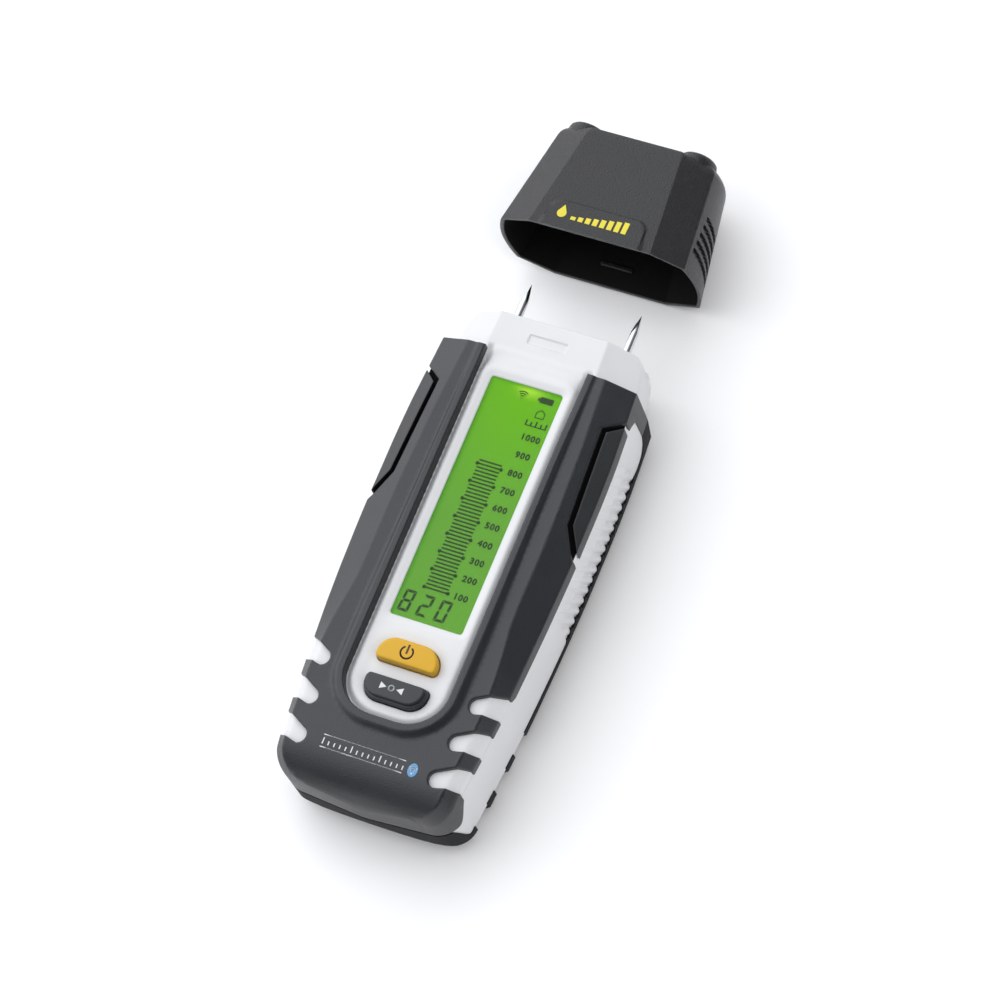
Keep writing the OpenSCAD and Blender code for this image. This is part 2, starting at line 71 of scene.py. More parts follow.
def track(pairs):
    """Smooth curve through (position, value) pairs without overshoot."""
    px = np.array([p[0] for p in pairs], float)
    py = np.array([p[1] for p in pairs], float)
    h = np.diff(px)
    d = np.diff(py) / h
    m = np.zeros(len(px))
    m[0], m[-1] = d[0], d[-1]
    for i in range(1, len(px) - 1):
        if d[i - 1] * d[i] > 0:
            w1, w2 = 2 * h[i] + h[i - 1], h[i] + 2 * h[i - 1]
            m[i] = (w1 + w2) / (w1 / d[i - 1] + w2 / d[i])

    def at(v):
        v = np.clip(np.asarray(v, float), px[0], px[-1])
        i = np.clip(np.searchsorted(px, v) - 1, 0, len(h) - 1)
        t = (v - px[i]) / h[i]
        return ((1 + 2 * t) * (1 - t) ** 2 * py[i] + t * (1 - t) ** 2 * h[i] * m[i]
                + t * t * (3 - 2 * t) * py[i + 1] + t * t * (t - 1) * h[i] * m[i + 1])
    return at


def soft_ramp(v, r):
    """max(v, 0) with a rounded foot of size r."""
    return 0.5 * (v + np.sqrt(v * v + r * r)) - 0.5 * r * np.exp(-np.abs(v) / r)


def corner_distance(qx, qy, r):
    """Signed distance to a corner of radius r from the offsets past its centre."""
    return np.hypot(np.maximum(qx, 0), np.maximum(qy, 0)) + np.minimum(np.maximum(qx, qy), 0) - r


def box_distance(x, y, cx, cy, hx, hy, r):
    """Signed distance to a rectangle with round corners, negative inside."""
    return corner_distance(np.abs(x - cx) - (hx - r), np.abs(y - cy) - (hy - r), r)


# ---------- outlines ----------

def dense(points, step, closed=True):
    """The same outline with no stretch longer than step."""
    pts = [np.array(p, float) for p in points]
    out = []
    n = len(pts)
    for i in range(n if closed else n - 1):
        a, b = pts[i], pts[(i + 1) % n]
        k = max(1, int(math.ceil(np.linalg.norm(b - a) / step)))
        out += [a + (b - a) * j / k for j in range(k)]
    if not closed:
        out.append(pts[-1])
    return np.array(out)


def rounded(points, radii, steps=8):
    """Outline with each corner turned into an arc of its own radius."""
    n = len(points)
    if not hasattr(radii, "__len__"):
        radii = [radii] * n
    out = []
    for i in range(n):
        p, a, b = (np.array(points[j % n], float) for j in (i, i - 1, i + 1))
        u, v = a - p, b - p
        lu, lv = np.linalg.norm(u), np.linalg.norm(v)
        u, v = u / lu, v / lv
        half = 0.5 * math.acos(max(-1.0, min(1.0, float(u @ v))))
        r = radii[i]
        if r <= 0 or half > 1.56:
            out.append(p)
            continue
        t = min(r / math.tan(half), 0.49 * lu, 0.49 * lv)
        r = t * math.tan(half)
        bis = (u + v) / np.linalg.norm(u + v)
        c = p + bis * r / math.sin(half)
        s, e = p + u * t - c, p + v * t - c
        a0, a1 = math.atan2(s[1], s[0]), math.atan2(e[1], e[0])
        turn = (a1 - a0 + math.pi) % (2 * math.pi) - math.pi
        out += [c + r * np.array([math.cos(a0 + turn * k / steps), math.sin(a0 + turn * k / steps)])
                for k in range(steps + 1)]
    return np.array(out)


def circle(cx, cy, r, n=32):
    a = np.arange(n) * 2 * math.pi / n
    return np.stack([cx + r * np.cos(a), cy + r * np.sin(a)], 1)


def arc(cx, cy, r, a0, a1, n):
    """Points on an arc from angle a0 to a1, in degrees."""
    a = np.radians(np.linspace(a0, a1, n))
    return np.stack([cx + r * np.cos(a), cy + r * np.sin(a)], 1)


def box(x0, y0, x1, y1):
    return [(x0, y0), (x1, y0), (x1, y1), (x0, y1)]


def grown(rect, d):
    """Rectangle (left, lower, right, upper) with each side moved out by d."""
    return box(rect[0] - d, rect[1] - d, rect[2] + d, rect[3] + d)


def flat_at(height):
    """Level surface, in the form that plate() and ink() take."""
    return lambda x, y: np.full(len(x), float(height))


def flipped(v):
    """Turns a plate that was drawn with its height downwards."""
    return v * [1, 1, -1]


def mirror_close(half):
    """Loop made of a right-hand path and its mirror image."""
    half = np.asarray(half, float)
    return np.concatenate([half, half[::-1] * [-1, 1]])


def mirror_shared(half):
    """The same for a path that begins and ends on the middle line."""
    return np.concatenate([half, half[1:-1][::-1] * [-1, 1]])


def within(poly, x, y):
    ax, ay = poly[:, 0], poly[:, 1]
    bx, by = np.roll(ax, -1), np.roll(ay, -1)
    hit = np.zeros(len(x), bool)
    for i in range(len(ax)):
        if ay[i] == by[i]:
            continue
        span = (ay[i] > y) != (by[i] > y)
        hit ^= span & (x < (bx[i] - ax[i]) * (y - ay[i]) / (by[i] - ay[i]) + ax[i])
    return hit


def edge_distance(loops, x, y):
    best = np.full(len(x), 1e9)
    for poly in loops:
        a, b = poly, np.roll(poly, -1, 0)
        for i in range(len(a)):
            d = b[i] - a[i]
            ll = max(float(d @ d), 1e-12)
            near = np.abs(x - a[i, 0]) < 6
            px, py = x[near] - a[i, 0], y[near] - a[i, 1]
            t = np.clip((px * d[0] + py * d[1]) / ll, 0, 1)
            best[near] = np.minimum(best[near], np.hypot(px - t * d[0], py - t * d[1]))
    return best


# ---------- meshes ----------

def new_object(name, data):
    obj = bpy.data.objects.new(name, data)
    bpy.context.scene.collection.objects.link(obj)
    return obj


def mesh_piece(name, verts, faces, material, sharp=38):
    """New object from millimetre points, with normals made consistent and corners kept crisp."""
    mesh = bpy.data.meshes.new(name)
    mesh.from_pydata([tuple(v) for v in np.asarray(verts, float) * 0.001], [], [tuple(f) for f in faces])
    bm = bmesh.new()
    bm.from_mesh(mesh)
    bmesh.ops.remove_doubles(bm, verts=bm.verts, dist=1e-6)
    bmesh.ops.recalc_face_normals(bm, faces=bm.faces)
    if bm.calc_volume(signed=True) < 0:
        bmesh.ops.reverse_faces(bm, faces=bm.faces)
    limit = math.radians(sharp)
    for f in bm.faces:
        f.smooth = True
    for e in bm.edges:
        e.smooth = e.calc_face_angle(0) < limit
    bm.to_mesh(mesh)
    bm.free()
    mesh.materials.append(material)
    return new_object(name, mesh)


def plate(name, outer, top, base, material, holes=(), ring=0.6, step=1.2, edge=0.4, lines=(),
          place=None, sharp=38):
    """Closed solid over a plan outline: a height field with a rounded rim, upright walls, and a lower sheet."""
    loops = [dense(outer, ring)] + [dense(h, ring) for h in holes]
    pts = [np.concatenate(loops)]

    def add(cand, room):
        cand = np.asarray(cand, float)
        if not len(cand):
            return
        ok = within(loops[0], cand[:, 0], cand[:, 1])
        for h in loops[1:]:
            ok &= ~within(h, cand[:, 0], cand[:, 1])
        cand = cand[ok]
        cand = cand[edge_distance(loops, cand[:, 0], cand[:, 1]) > room]
        pts.append(cand)

    for d in (0.1 * edge, 0.38 * edge, edge, 1.8 * edge) if edge > 0 else (0.5 * ring,):
        for loop in loops:
            tangent = np.roll(loop, -1, 0) - np.roll(loop, 1, 0)
            tangent /= np.maximum(np.linalg.norm(tangent, axis=1, keepdims=True), 1e-9)
            normal = np.stack([-tangent[:, 1], tangent[:, 0]], 1)
            for side in (1, -1):
                add(loop + side * normal * d, 0.9 * d)
    for line in lines:
        add(line, 0.6 * edge + 0.05)
    lo, hi = loops[0].min(0), loops[0].max(0)
    gx, gy = np.meshgrid(np.arange(lo[0], hi[0] + step, step), np.arange(lo[1], hi[1] + step, step * 0.87))
    gx = gx + (np.arange(gx.shape[0]) % 2 * 0.5 * step)[:, None]
    add(np.stack([gx.ravel(), gy.ravel()], 1), 1.8 * edge + 0.35 * step)

    flat = np.concatenate(pts)
    edges, start = [], 0
    for loop in loops:
        n = len(loop)
        edges += [(start + i, start + (i + 1) % n) for i in range(n)]
        start += n
    got = delaunay_2d_cdt([Vector(p) for p in flat.tolist()], edges, [], 0, 1e-5)
    v2 = np.array([tuple(v) for v in got[0]])
    tri = np.array(got[2])
    mid = v2[tri].mean(1)
    keep = within(loops[0], mid[:, 0], mid[:, 1])
    for h in loops[1:]:
        keep &= ~within(h, mid[:, 0], mid[:, 1])
    tri = tri[keep]
    x, y = v2[:, 0], v2[:, 1]
    z = top(x, y)
    if edge > 0:
        gap = np.clip(edge - edge_distance(loops, x, y), 0, edge)
        z = z - (edge - np.sqrt(np.maximum(edge * edge - gap * gap, 0)))
    low = base(x, y) if callable(base) else np.full(len(x), float(base))
    n = len(x)
    verts = np.concatenate([np.stack([x, y, z], 1), np.stack([x, y, np.minimum(low, z - 0.02)], 1)])
    half_edges = dict.fromkeys(e for a, b, c in tri for e in ((a, b), (b, c), (c, a)))
    rim = [e for e in half_edges if (e[1], e[0]) not in half_edges]
    faces = tri.tolist() + (tri[:, ::-1] + n).tolist() + [(b, a, a + n, b + n) for a, b in rim]
    used = np.unique(np.concatenate([tri.ravel(), tri.ravel() + n]))
    index = np.full(len(verts), -1)
    index[used] = np.arange(len(used))
    verts = verts[used]
    faces = [[int(index[i]) for i in f] for f in faces]
    if place is not None:
        verts = place(verts)
    return mesh_piece(name, verts, faces, material, sharp)


def loft(name, rings, material, sharp=38):
    """Skin over rings of equal length, each closed on itself, with both ends closed."""
    rings = [np.asarray(r, float) for r in rings]
    n = len(rings[0])
    verts = np.concatenate(rings)
    faces = []
    for k in range(len(rings) - 1):
        for i in range(n):
            j = (i + 1) % n
            faces.append((k * n + i, k * n + j, (k + 1) * n + j, (k + 1) * n + i))
    for k in (0, len(rings) - 1):
        c = len(verts)
        verts = np.concatenate([verts, [rings[k].mean(0)]])
        faces += [(c, k * n + i, k * n + (i + 1) % n) for i in range(n)]
    return mesh_piece(name, verts, faces, material, sharp)


def turned(name, profile, material, centre, n=48, sharp=38):
    """Lathe-turned solid along Y; profile is (y, radius), centre is (x, z)."""
    a = np.arange(n) * 2 * math.pi / n
    rings = [np.stack([r * np.cos(a) + centre[0], np.full(n, y), r * np.sin(a) + centre[1]], 1)
             for y, r in profile]
    return loft(name, rings, material, sharp=sharp)


def joined(name, objects):
    """One object made of several."""
    bm = bmesh.new()
    for o in objects:
        bm.from_mesh(o.data)
    mesh = bpy.data.meshes.new(name)
    bm.to_mesh(mesh)
    bm.free()
    mesh.materials.append(objects[0].data.materials[0])
    for o in objects:
        bpy.data.objects.remove(o)
    return new_object(name, mesh)


def belongs(obj, body, slot, *nodes):
    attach(obj, body)
    if nodes:
        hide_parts(*nodes)
    return obj


# ---------- materials ----------

def shader(name):
    """New material with one Principled shader: the material, what makes a node, what links two, the shader."""
    m = bpy.data.materials.new(name)
    m.use_nodes = True
    nt = m.node_tree
    nt.nodes.clear()
    add, link = nt.nodes.new, nt.links.new
    out = add("ShaderNodeOutputMaterial")
    bsdf = add("ShaderNodeBsdfPrincipled")
    link(bsdf.outputs[0], out.inputs[0])
    return m, add, link, bsdf


def colour_mix(add, link, factor, a, b):
    """Blend of two colours; each of the three is an output to link or a value to set."""
    mix = add("ShaderNodeMix")
    mix.data_type = "RGBA"
    for key, value in (("Factor", factor), ("A", a), ("B", b)):
        if isinstance(value, bpy.types.NodeSocket):
            link(value, mix.inputs[key])
        else:
            mix.inputs[key].default_value = value
    return mix.outputs["Result"]


def noise(add, link, coordinates, scale, detail=2.0):
    node = add("ShaderNodeTexNoise")
    node.inputs["Scale"].default_value = scale
    node.inputs["Detail"].default_value = detail
    link(coordinates, node.inputs["Vector"])
    return node.outputs["Fac"]


def map_range(add, link, value, source=(0.0, 1.0), to=(0.0, 1.0), smooth=False):
    """Output that goes from to[0] to to[1] as the value goes from source[0] to source[1]."""
    node = add("ShaderNodeMapRange")
    if smooth:
        node.interpolation_type = "SMOOTHSTEP"
    node.inputs["From Min"].default_value, node.inputs["From Max"].default_value = source
    node.inputs["To Min"].default_value, node.inputs["To Max"].default_value = to
    link(value, node.inputs["Value"])
    return node.outputs["Result"]


def material(name, colour, rough=0.5, metal=0.0, spec=0.5, grain=0.0, grain_scale=2600, tint=0.08,
             blotch=120, rough_var=0.08, wear=0.0, wear_colour=(0.05, 0.053, 0.06), relief=0.0001, alpha=1.0):
    """Procedural plastic or metal: clouded colour and roughness, moulded grain, and light wear on edges."""
    m, add, link, bsdf = shader(name)
    bsdf.inputs["Metallic"].default_value = metal
    bsdf.inputs["Specular IOR Level"].default_value = spec
    bsdf.inputs["Alpha"].default_value = alpha
    place = add("ShaderNodeTexCoord").outputs["Object"]
    cloud = noise(add, link, place, blotch, 4)
    patches = map_range(add, link, cloud, source=(0.3, 0.7))
    darker, lighter = [(*[min(1, c * (1 + t)) for c in colour], 1) for t in (-tint, tint)]
    colour_out = colour_mix(add, link, patches, darker, lighter)
    if wear > 0:
        geo = add("ShaderNodeNewGeometry")
        edges = map_range(add, link, geo.outputs["Pointiness"], source=(0.53, 0.62), to=(0.0, wear))
        colour_out = colour_mix(add, link, edges, colour_out, (*wear_colour, 1))
    link(colour_out, bsdf.inputs["Base Color"])
    roughness = map_range(add, link, cloud, to=(rough - rough_var, rough + rough_var))
    link(roughness, bsdf.inputs["Roughness"])
    if grain > 0:
        bump = add("ShaderNodeBump")
        bump.inputs["Strength"].default_value = grain
        bump.inputs["Distance"].default_value = relief
        link(noise(add, link, place, grain_scale), bump.inputs["Height"])
        link(bump.outputs[0], bsdf.inputs["Normal"])
    return m


FINISHES = {
    "white_shell": dict(colour=(0.66, 0.665, 0.675), rough=0.42, grain=0.12, tint=0.015, rough_var=0.05),
    "dark_grip": dict(colour=(0.0115, 0.013, 0.016), rough=0.4, grain=0.6, grain_scale=3000, spec=0.62,
                      relief=0.00016, wear=0.2),
    "dark_pad": dict(colour=(0.0125, 0.0135, 0.0155), rough=0.42, grain=0.5, grain_scale=3000, spec=0.62,
                     relief=0.00014, wear=0.3),
    "rear_grip": dict(colour=(0.011, 0.012, 0.014), rough=0.7, rough_var=0.04, grain=0.5, grain_scale=3000,
                      spec=0.2),
    # near-black and nearly unreflective: painted shade for the floors of the pad grooves
    "groove_black": dict(colour=(0.003, 0.003, 0.003), rough=0.8, grain=0.1, spec=0.05),
    "clear_window": dict(colour=(0.04, 0.12, 0.02), rough=0.08, rough_var=0.02, alpha=0.05, tint=0.01),
    "lcd_ink": dict(colour=(0.022, 0.050, 0.016), tint=0.05, spec=0.2),
    "light_guide": dict(colour=(0.65, 0.85, 0.5), rough=0.4, tint=0.03, grain=0.05),
    "led_lens": dict(colour=(0.85, 0.85, 0.6), rough=0.25, tint=0.03),
    "elastomer": dict(colour=(0.05, 0.05, 0.05), rough=0.7, grain=0.2),
    "yellow_key": dict(colour=(0.60, 0.34, 0.010), rough=0.4, grain=0.15, tint=0.03, spec=0.4),
    "dark_key": dict(colour=(0.020, 0.022, 0.026), rough=0.42, grain=0.15, tint=0.05),
    "key_ink": dict(colour=(0.06, 0.025, 0.004), tint=0.05),
    "white_ink": dict(colour=(0.62, 0.63, 0.65), tint=0.03),
    "yellow_ink": dict(colour=(0.70, 0.60, 0.03), rough=0.45, tint=0.04, grain=0.1),
    "blue_ink": dict(colour=(0.10, 0.27, 0.50), rough=0.35, tint=0.05),
    "switch_black": dict(colour=(0.02, 0.02, 0.02), grain=0.15),
    "circuit_board": dict(colour=(0.015, 0.13, 0.05), rough=0.35, tint=0.15, blotch=400, grain=0.1),
    "chip_black": dict(colour=(0.015, 0.015, 0.016), rough=0.6, grain=0.3),
    "shield_can": dict(colour=(0.5, 0.51, 0.52), rough=0.35, metal=1.0, grain=0.1),
    "component_mix": dict(colour=(0.32, 0.23, 0.13), tint=0.4, blotch=500),
    "screw_steel": dict(colour=(0.45, 0.45, 0.46), rough=0.32, metal=1.0, grain=0.2, tint=0.1),
    "electrode_steel": dict(colour=(0.66, 0.67, 0.69), rough=0.16, metal=1.0, rough_var=0.05, grain=0.06,
                            grain_scale=6000, tint=0.05),
    "socket_brass": dict(colour=(0.72, 0.50, 0.18), rough=0.3, metal=1.0, grain=0.1),
    "spring_bronze": dict(colour=(0.62, 0.42, 0.2), rough=0.35, metal=1.0, tint=0.1, grain=0.1),
    "door_dark": dict(colour=(0.019, 0.021, 0.025), rough=0.45, grain=0.45, grain_scale=3000, wear=0.2),
    "cell_sleeve": dict(colour=(0.07, 0.16, 0.34), rough=0.3, metal=0.3, tint=0.1, grain=0.05),
    "spring_steel": dict(colour=(0.55, 0.55, 0.57), rough=0.3, metal=1.0, grain=0.1),
    "cap_black": dict(colour=(0.008, 0.0083, 0.009), rough=0.33, relief=0.0002, grain=1.0, grain_scale=2900,
                      tint=0.15, blotch=900, wear=0.3, wear_colour=(0.04, 0.042, 0.046)),
    # darker, duller copy of cap_black: painted shade for the hollow of the cap
    "cap_inside": dict(colour=(0.004, 0.004, 0.004), rough=0.6, grain=0.4, grain_scale=3400, spec=0.12),
    "label_grey": dict(colour=(0.42, 0.43, 0.45), rough=0.45, tint=0.03, grain=0.05),
}
M = {name: material(name, **finish) for name, finish in FINISHES.items()}
M["white_trim"] = M["white_shell"]


def lcd_material():
    """Green lit display: brighter near its upper end where the lamp leaks, with painted shade along its left
    and upper rims where the rim of the opening shadows it.
    """
    m, add, link, bsdf = shader("lcd_glass")
    bsdf.inputs["Specular IOR Level"].default_value = 0.05
    place = add("ShaderNodeTexCoord").outputs["Object"]
    face_z, edge_at = 0.029, 0.032

    def near(point, scale, lo, hi):
        """Falls from 1 at the point to 0; scale stretches the space round it."""
        mp = add("ShaderNodeMapping")
        mp.vector_type = "TEXTURE"
        mp.inputs["Location"].default_value = (*point, face_z)
        mp.inputs["Scale"].default_value = scale
        link(place, mp.inputs["Vector"])
        ln = add("ShaderNodeVectorMath")
        ln.operation = "LENGTH"
        link(mp.outputs[0], ln.inputs[0])
        return map_range(add, link, ln.outputs["Value"], (lo, hi), (1.0, 0.0), smooth=True)

    lamp_side = near((0, 0.022), (1, 1.6, 1), 0.0, 0.030)
    lamp_leak = near((0.0012, 0.0190), (1, 0.62, 1), 0.0, 0.0062)
    # painted shadow cast by the rim of the opening along the left and upper edges of the display
    left_rim_shadow = near((-0.0106, -0.014), (0.07, 4.0, 10), 0.0, edge_at)
    upper_rim_shadow = near((0, 0.0200), (4.0, 0.05, 10), 0.0, edge_at)
    col = colour_mix(add, link, lamp_side, (0.142, 0.392, 0.048, 1), (0.150, 0.50, 0.008, 1))
    col = colour_mix(add, link, lamp_leak, col, (0.42, 0.80, 0.05, 1))
    col = colour_mix(add, link, left_rim_shadow, col, (0.030, 0.25, 0.003, 1))
    col = colour_mix(add, link, upper_rim_shadow, col, (0.075, 0.36, 0.004, 1))
    link(map_range(add, link, noise(add, link, place, 900), to=(0.35, 0.5)), bsdf.inputs["Roughness"])
    link(colour_mix(add, link, 0.62, col, (0, 0, 0, 1)), bsdf.inputs["Base Color"])
    link(col, bsdf.inputs["Emission Color"])
    bsdf.inputs["Emission Strength"].default_value = 0.6
    return m


M["lcd_glass"] = lcd_material()

# CAD nodes that stay take the material of their slot
for entry in frame["record"]["subparts"]:
    node_obj = frame["nodes"][entry["node"]]
    slot_name = entry["material_slot"]
    if not node_obj.data.materials:
        node_obj.data.materials.append(None)
    for s in node_obj.material_slots:
        s.link = "OBJECT"
        s.material = M[slot_name]


# ---------- form of the body ----------

half_width = track([(-87.4, 24.4), (-74, 25.7), (-60, 26.85), (-48, 27.5), (-36, 28.0), (-19, 28.4), (-6, 28.4),
                    (6, 28.15), (14, 27.7), (26.5, 26.9)])
crease_inset = track([(-87.4, 2.7), (-76, 2.9), (-66, 3.2), (-60, 3.85), (-54, 4.6), (-48, 5.6), (-42, 6.6),
                      (-36, 7.0), (-12, 7.45), (0, 7.8), (12, 7.9), (26.5, 8.0)])
bevel_drop = track([(-87.4, 3.9), (-76, 4.2), (-60, 4.3), (-48, 3.8), (-36, 3.7), (-12, 3.85), (6, 3.7),
                    (26.5, 3.5)])
flat_height = track([(-85, 30.9), (-60, 30.95), (-12, 31.2), (26.5, 31.35)])
CORNER = (17.2, -87.4, 7.2)      # lower corner of the plan: centre and radius
NOSE_Y, NOSE_R = -84.8, 11.0
HEEL_Y, HEEL_R = -83.8, 12.0


def side(y):
    """Half width of the plan at y, round the lower corner too."""
    y = np.asarray(y, float)
    arc = CORNER[0] + np.sqrt(np.maximum(CORNER[2] ** 2 - (y - CORNER[1]) ** 2, 0))
    return np.where(y < CORNER[1], arc, half_width(y))


def u_distance(x, y):
    """Distance from the U-shaped opening of the front grip, negative inside it."""
    return corner_distance(np.abs(x) - (U_HALF - U_R), (U_END_Y + U_R) - y, U_R)


def lcd_distance(x, y):
    return box_distance(x, y, 0, -14.2, 9.9, 33.8, 0.8)


def grip_height(x, y, collar=True):
    """Front surface of the dark grips."""
    xa = np.abs(x)
    nose = np.clip(NOSE_Y - y, 0, NOSE_R - 0.01)
    z = flat_height(y) - (NOSE_R - np.sqrt(NOSE_R ** 2 - nose ** 2))
    w, inset = side(y), crease_inset(y)
    z = z - bevel_drop(y) * soft_ramp(xa - (w - inset), 0.35) / inset
    if collar:
        d = u_distance(x, y)
        rise = 0.5 + 0.8 * ease(24, 2, y)
        flank = np.interp(y, [-60, -48, -30, -12, 24], [2.1, 2.2, 1.65, 1.3, 1.05])
        z = z + rise * (1 - ease(1.6, 1.6 + flank, d))
    return z


def grip_offset(d, collar=False):
    """That surface moved out by d, without its collar unless asked for."""
    return lambda x, y: grip_height(x, y, collar) + d


def side_skirt(y):
    """Height where the side wall of the front grip ends."""
    z = 23.3 + 1.0 * ease(-57, -59, y) - 1.0 * ease(-83, -84.5, y)
    z = z - 8.2 * ease(-84.5, -90.5, y) ** 0.8
    arch = np.clip((y - ARCH_Y0) / (ARCH_Y1 - ARCH_Y0), 0, 1)
    z = np.where(y > ARCH_Y0, 23.3 - 2.6 * arch ** 1.4, z)
    return np.where(y > ARCH_Y1, TOP_PART_Z + 0.1, z)


def end_line(x):
    """Y of the lower end of the plan."""
    xa = np.abs(x)
    arc = CORNER[1] - np.sqrt(np.maximum(CORNER[2] ** 2 - (xa - CORNER[0]) ** 2, 0))
    return np.where(xa < CORNER[0], BODY_END_Y + xa * (1.2 / CORNER[0]), arc)


def grip_base(x, y):
    shell = grip_height(x, y, False) - 2.2
    rim = np.minimum(side(y) - np.abs(x), y - end_line(x))
    return np.where(rim < 2.2, np.minimum(side_skirt(y), shell), shell)


def path_inside(points, step=0.25):
    """Part of an open path that lies inside the right-hand side of the body."""
    p = dense(points, step, closed=False)
    return p[p[:, 0] < side(p[:, 1]) - 0.02]


def side_path(cuts, y_from, y_to, step=0.6):
    """Right-hand side of the plan from the top down, with open cuts in it, each given from the top down."""
    out, y = [], y_from
    for c in cuts:
        c = path_inside(c)
        ys = np.arange(y, c[0, 1], -step)
        out.append(np.stack([side(ys), ys], 1))
        out.append([[side(c[0, 1]), c[0, 1]]])
        out.append(c)
        out.append([[side(c[-1, 1]), c[-1, 1]]])
        y = c[-1, 1] - step
    ys = np.arange(y, y_to, -step)
    out.append(np.stack([side(ys), ys], 1))
    return np.concatenate([np.asarray(o, float) for o in out])


def notch_path(shift_y, index):
    """One notch from its upper outer end, round its inner end, to its lower outer end."""
    p = np.concatenate([[(31, -57.2), (26.9, -58.7)], arc(21.4, -64.2, 2.25, 110, 262, 12),
                        [(26.9, -64.9), (31, -62.6)]])
    return rounded_open(p + [-1.2 * index, shift_y - index * NOTCH_PITCH - (0.2 if index else 0)])


def rounded_open(p):
    """Open path with its corners eased."""
    out = [p[0]]
    for i in range(1, len(p) - 1):
        a, b = p[i] + (p[i - 1] - p[i]) * 0.12, p[i] + (p[i + 1] - p[i]) * 0.12
        out += [a, b] if np.linalg.norm(p[i + 1] - p[i - 1]) > 3 else [p[i]]
    return np.array(out + [p[-1]])


PAD_CUT = [(31, 20.9), (27.0, 17.8), (22.6, 14.4), (23.9, -12.4), (27.0, -18.6), (31, -24.8)]
PAD = [(31, 19.4), (27.0, 16.4), (23.85, 13.7), (25.2, -12.1), (27.9, -17.3), (31, -23.3)]

end_arc = arc(*CORNER, -4, -88, 14)
bottom = [(17.2, -94.6), (9, -95.2), (1, -95.78)]
u_arc = arc(*U_CENTRE, U_R, -90, 0, 16)

front_side = side_path([PAD_CUT] + [notch_path(0, i) for i in range(3)], BODY_TOP_Y, -87.2)
right = np.concatenate([front_side, end_arc, bottom])
inner = np.concatenate([u_arc, [(U_HALF, 0), (U_HALF, BODY_TOP_Y)]])
outline = mirror_close(np.concatenate([inner, right]))

crease_y = np.arange(-94, BODY_TOP_Y, 0.8)
crease_lines = [np.stack([s * (side(crease_y) - crease_inset(crease_y) + o), crease_y], 1)
                for s in (1, -1) for o in (-0.4, 0, 0.4)]


def u_line(d, step=0.6):
    """Line at distance d outside the U-shaped opening."""
    arc_part = arc(*U_CENTRE, U_R + d, -90, 0, 26)
    up = [(U_HALF + d, v) for v in np.arange(-63.6, BODY_TOP_Y, step)]
    half = np.concatenate([[(v, U_END_Y - d) for v in np.arange(0, 3.4, step)], arc_part, up])
    return np.concatenate([half, half * [-1, 1]])


def lean_top(v):
    """Draws the upper ends of the grips back towards the rear edge of the sides."""
    v = v.copy()
    v[:, 1] -= 1.8 * ease(11, 0, v[:, 2]) * ease(19, BODY_TOP_Y, v[:, 1])
    return v


collar_lines = [u_line(d) for d in (0.9, 1.45, 1.6, 1.8, 2.1, 2.5, 3.0, 3.7)]
front_grip = plate("front_grip_skin", outline, grip_height, grip_base, M["dark_grip"], ring=0.5, step=1.1,
                   edge=0.35, lines=crease_lines + collar_lines, place=lean_top, sharp=62)
belongs(front_grip, "meter", "dark_grip", "front_grip")


def pad_outline(path):
    p = path_inside(path)
    ys = np.arange(p[-1, 1], p[0, 1], 0.5)
    return np.concatenate([np.stack([side(ys), ys], 1), p])


def pad_base(x, y):
    return np.where(side(y) - x < 2.2, 23.4, grip_height(x, y, False) - 1.3)


for sign, word in SIDES:
    def turn(v, s=sign):
        return v * [s, 1, 1]
    pad = plate("pad_" + word, pad_outline(PAD), grip_offset(0.05), pad_base, M["dark_pad"], ring=0.4, step=1.0,
                edge=0.3, place=turn)
    belongs(pad, "meter", "dark_pad", "grip_pad_" + word)
    # near-black sheet sunk under each pad's groove: painted shade of the groove
    groove_shade_sheet = plate("pad_groove_shade_" + word, pad_outline(PAD_CUT) - [0.5, 0], grip_offset(-1.25),
                            grip_offset(-2.0), M["groove_black"], ring=0.6, step=1.2, edge=0.1, place=turn)
    belongs(groove_shade_sheet, "meter", "dark_pad")


# ---------- white front shell with the panel and the head ----------

def key_outline(half, y0, y1, r0, r1, grow=0.0):
    """Key seen from above: half width, lower and upper y, radii of the lower and upper corners."""
    low = arc(half - r0, y0 + r0, r0 + grow, -90, 0, 8)
    up = arc(half - r1, y1 - r1, r1 + grow, 0, 90, 8)
    return mirror_close(np.concatenate([low, up]))


POWER = (8.1, -60.4, -54.2, 1.2, 4.6)
MODE = (8.4, -70.6, -64.4, 4.4, 1.2)


def panel_height(x, y):
    """White panel: crowned between the rim of the opening and the display, dished round the keys."""
    inner_d = -u_distance(x, y)
    z = 28.9 + 1.4 * ease(0.0, 2.0, inner_d) - 0.5 * (1 - ease(0.0, 1.9, lcd_distance(x, y)))
    keys = box_distance(x, y, 0, -62.4, 8.6, 8.6, 6.0)
    z = z - 0.4 * (1 - ease(0.3, 2.4, keys))
    return z - 1.55 * ease(2.4, 6.4, lcd_distance(x, y)) * ease(19.0, 21.0, y)


def head_height(x, y):
    z = 28.35 - 0.636 * soft_ramp(np.abs(x) - (15.4 - 0.05 * (y - 26)), 0.4)
    latch = box_distance(x, y, 0, 32.3, 5.2, 1.25, 0.3)
    return z - 0.34 * ease(0.14, -0.14, latch)


def shell_height(x, y):
    under = grip_height(x, y, False) - 1.45
    blend = ease(0.9, 0.1, u_distance(x, y))
    body = under * (1 - blend) + panel_height(x, y) * blend
    start = 25.4 + 1.7 * ease(15.4, 13.9, np.abs(x))
    t = ease(0, 1.8, y - start)
    return body * (1 - t) + head_height(x, y) * t


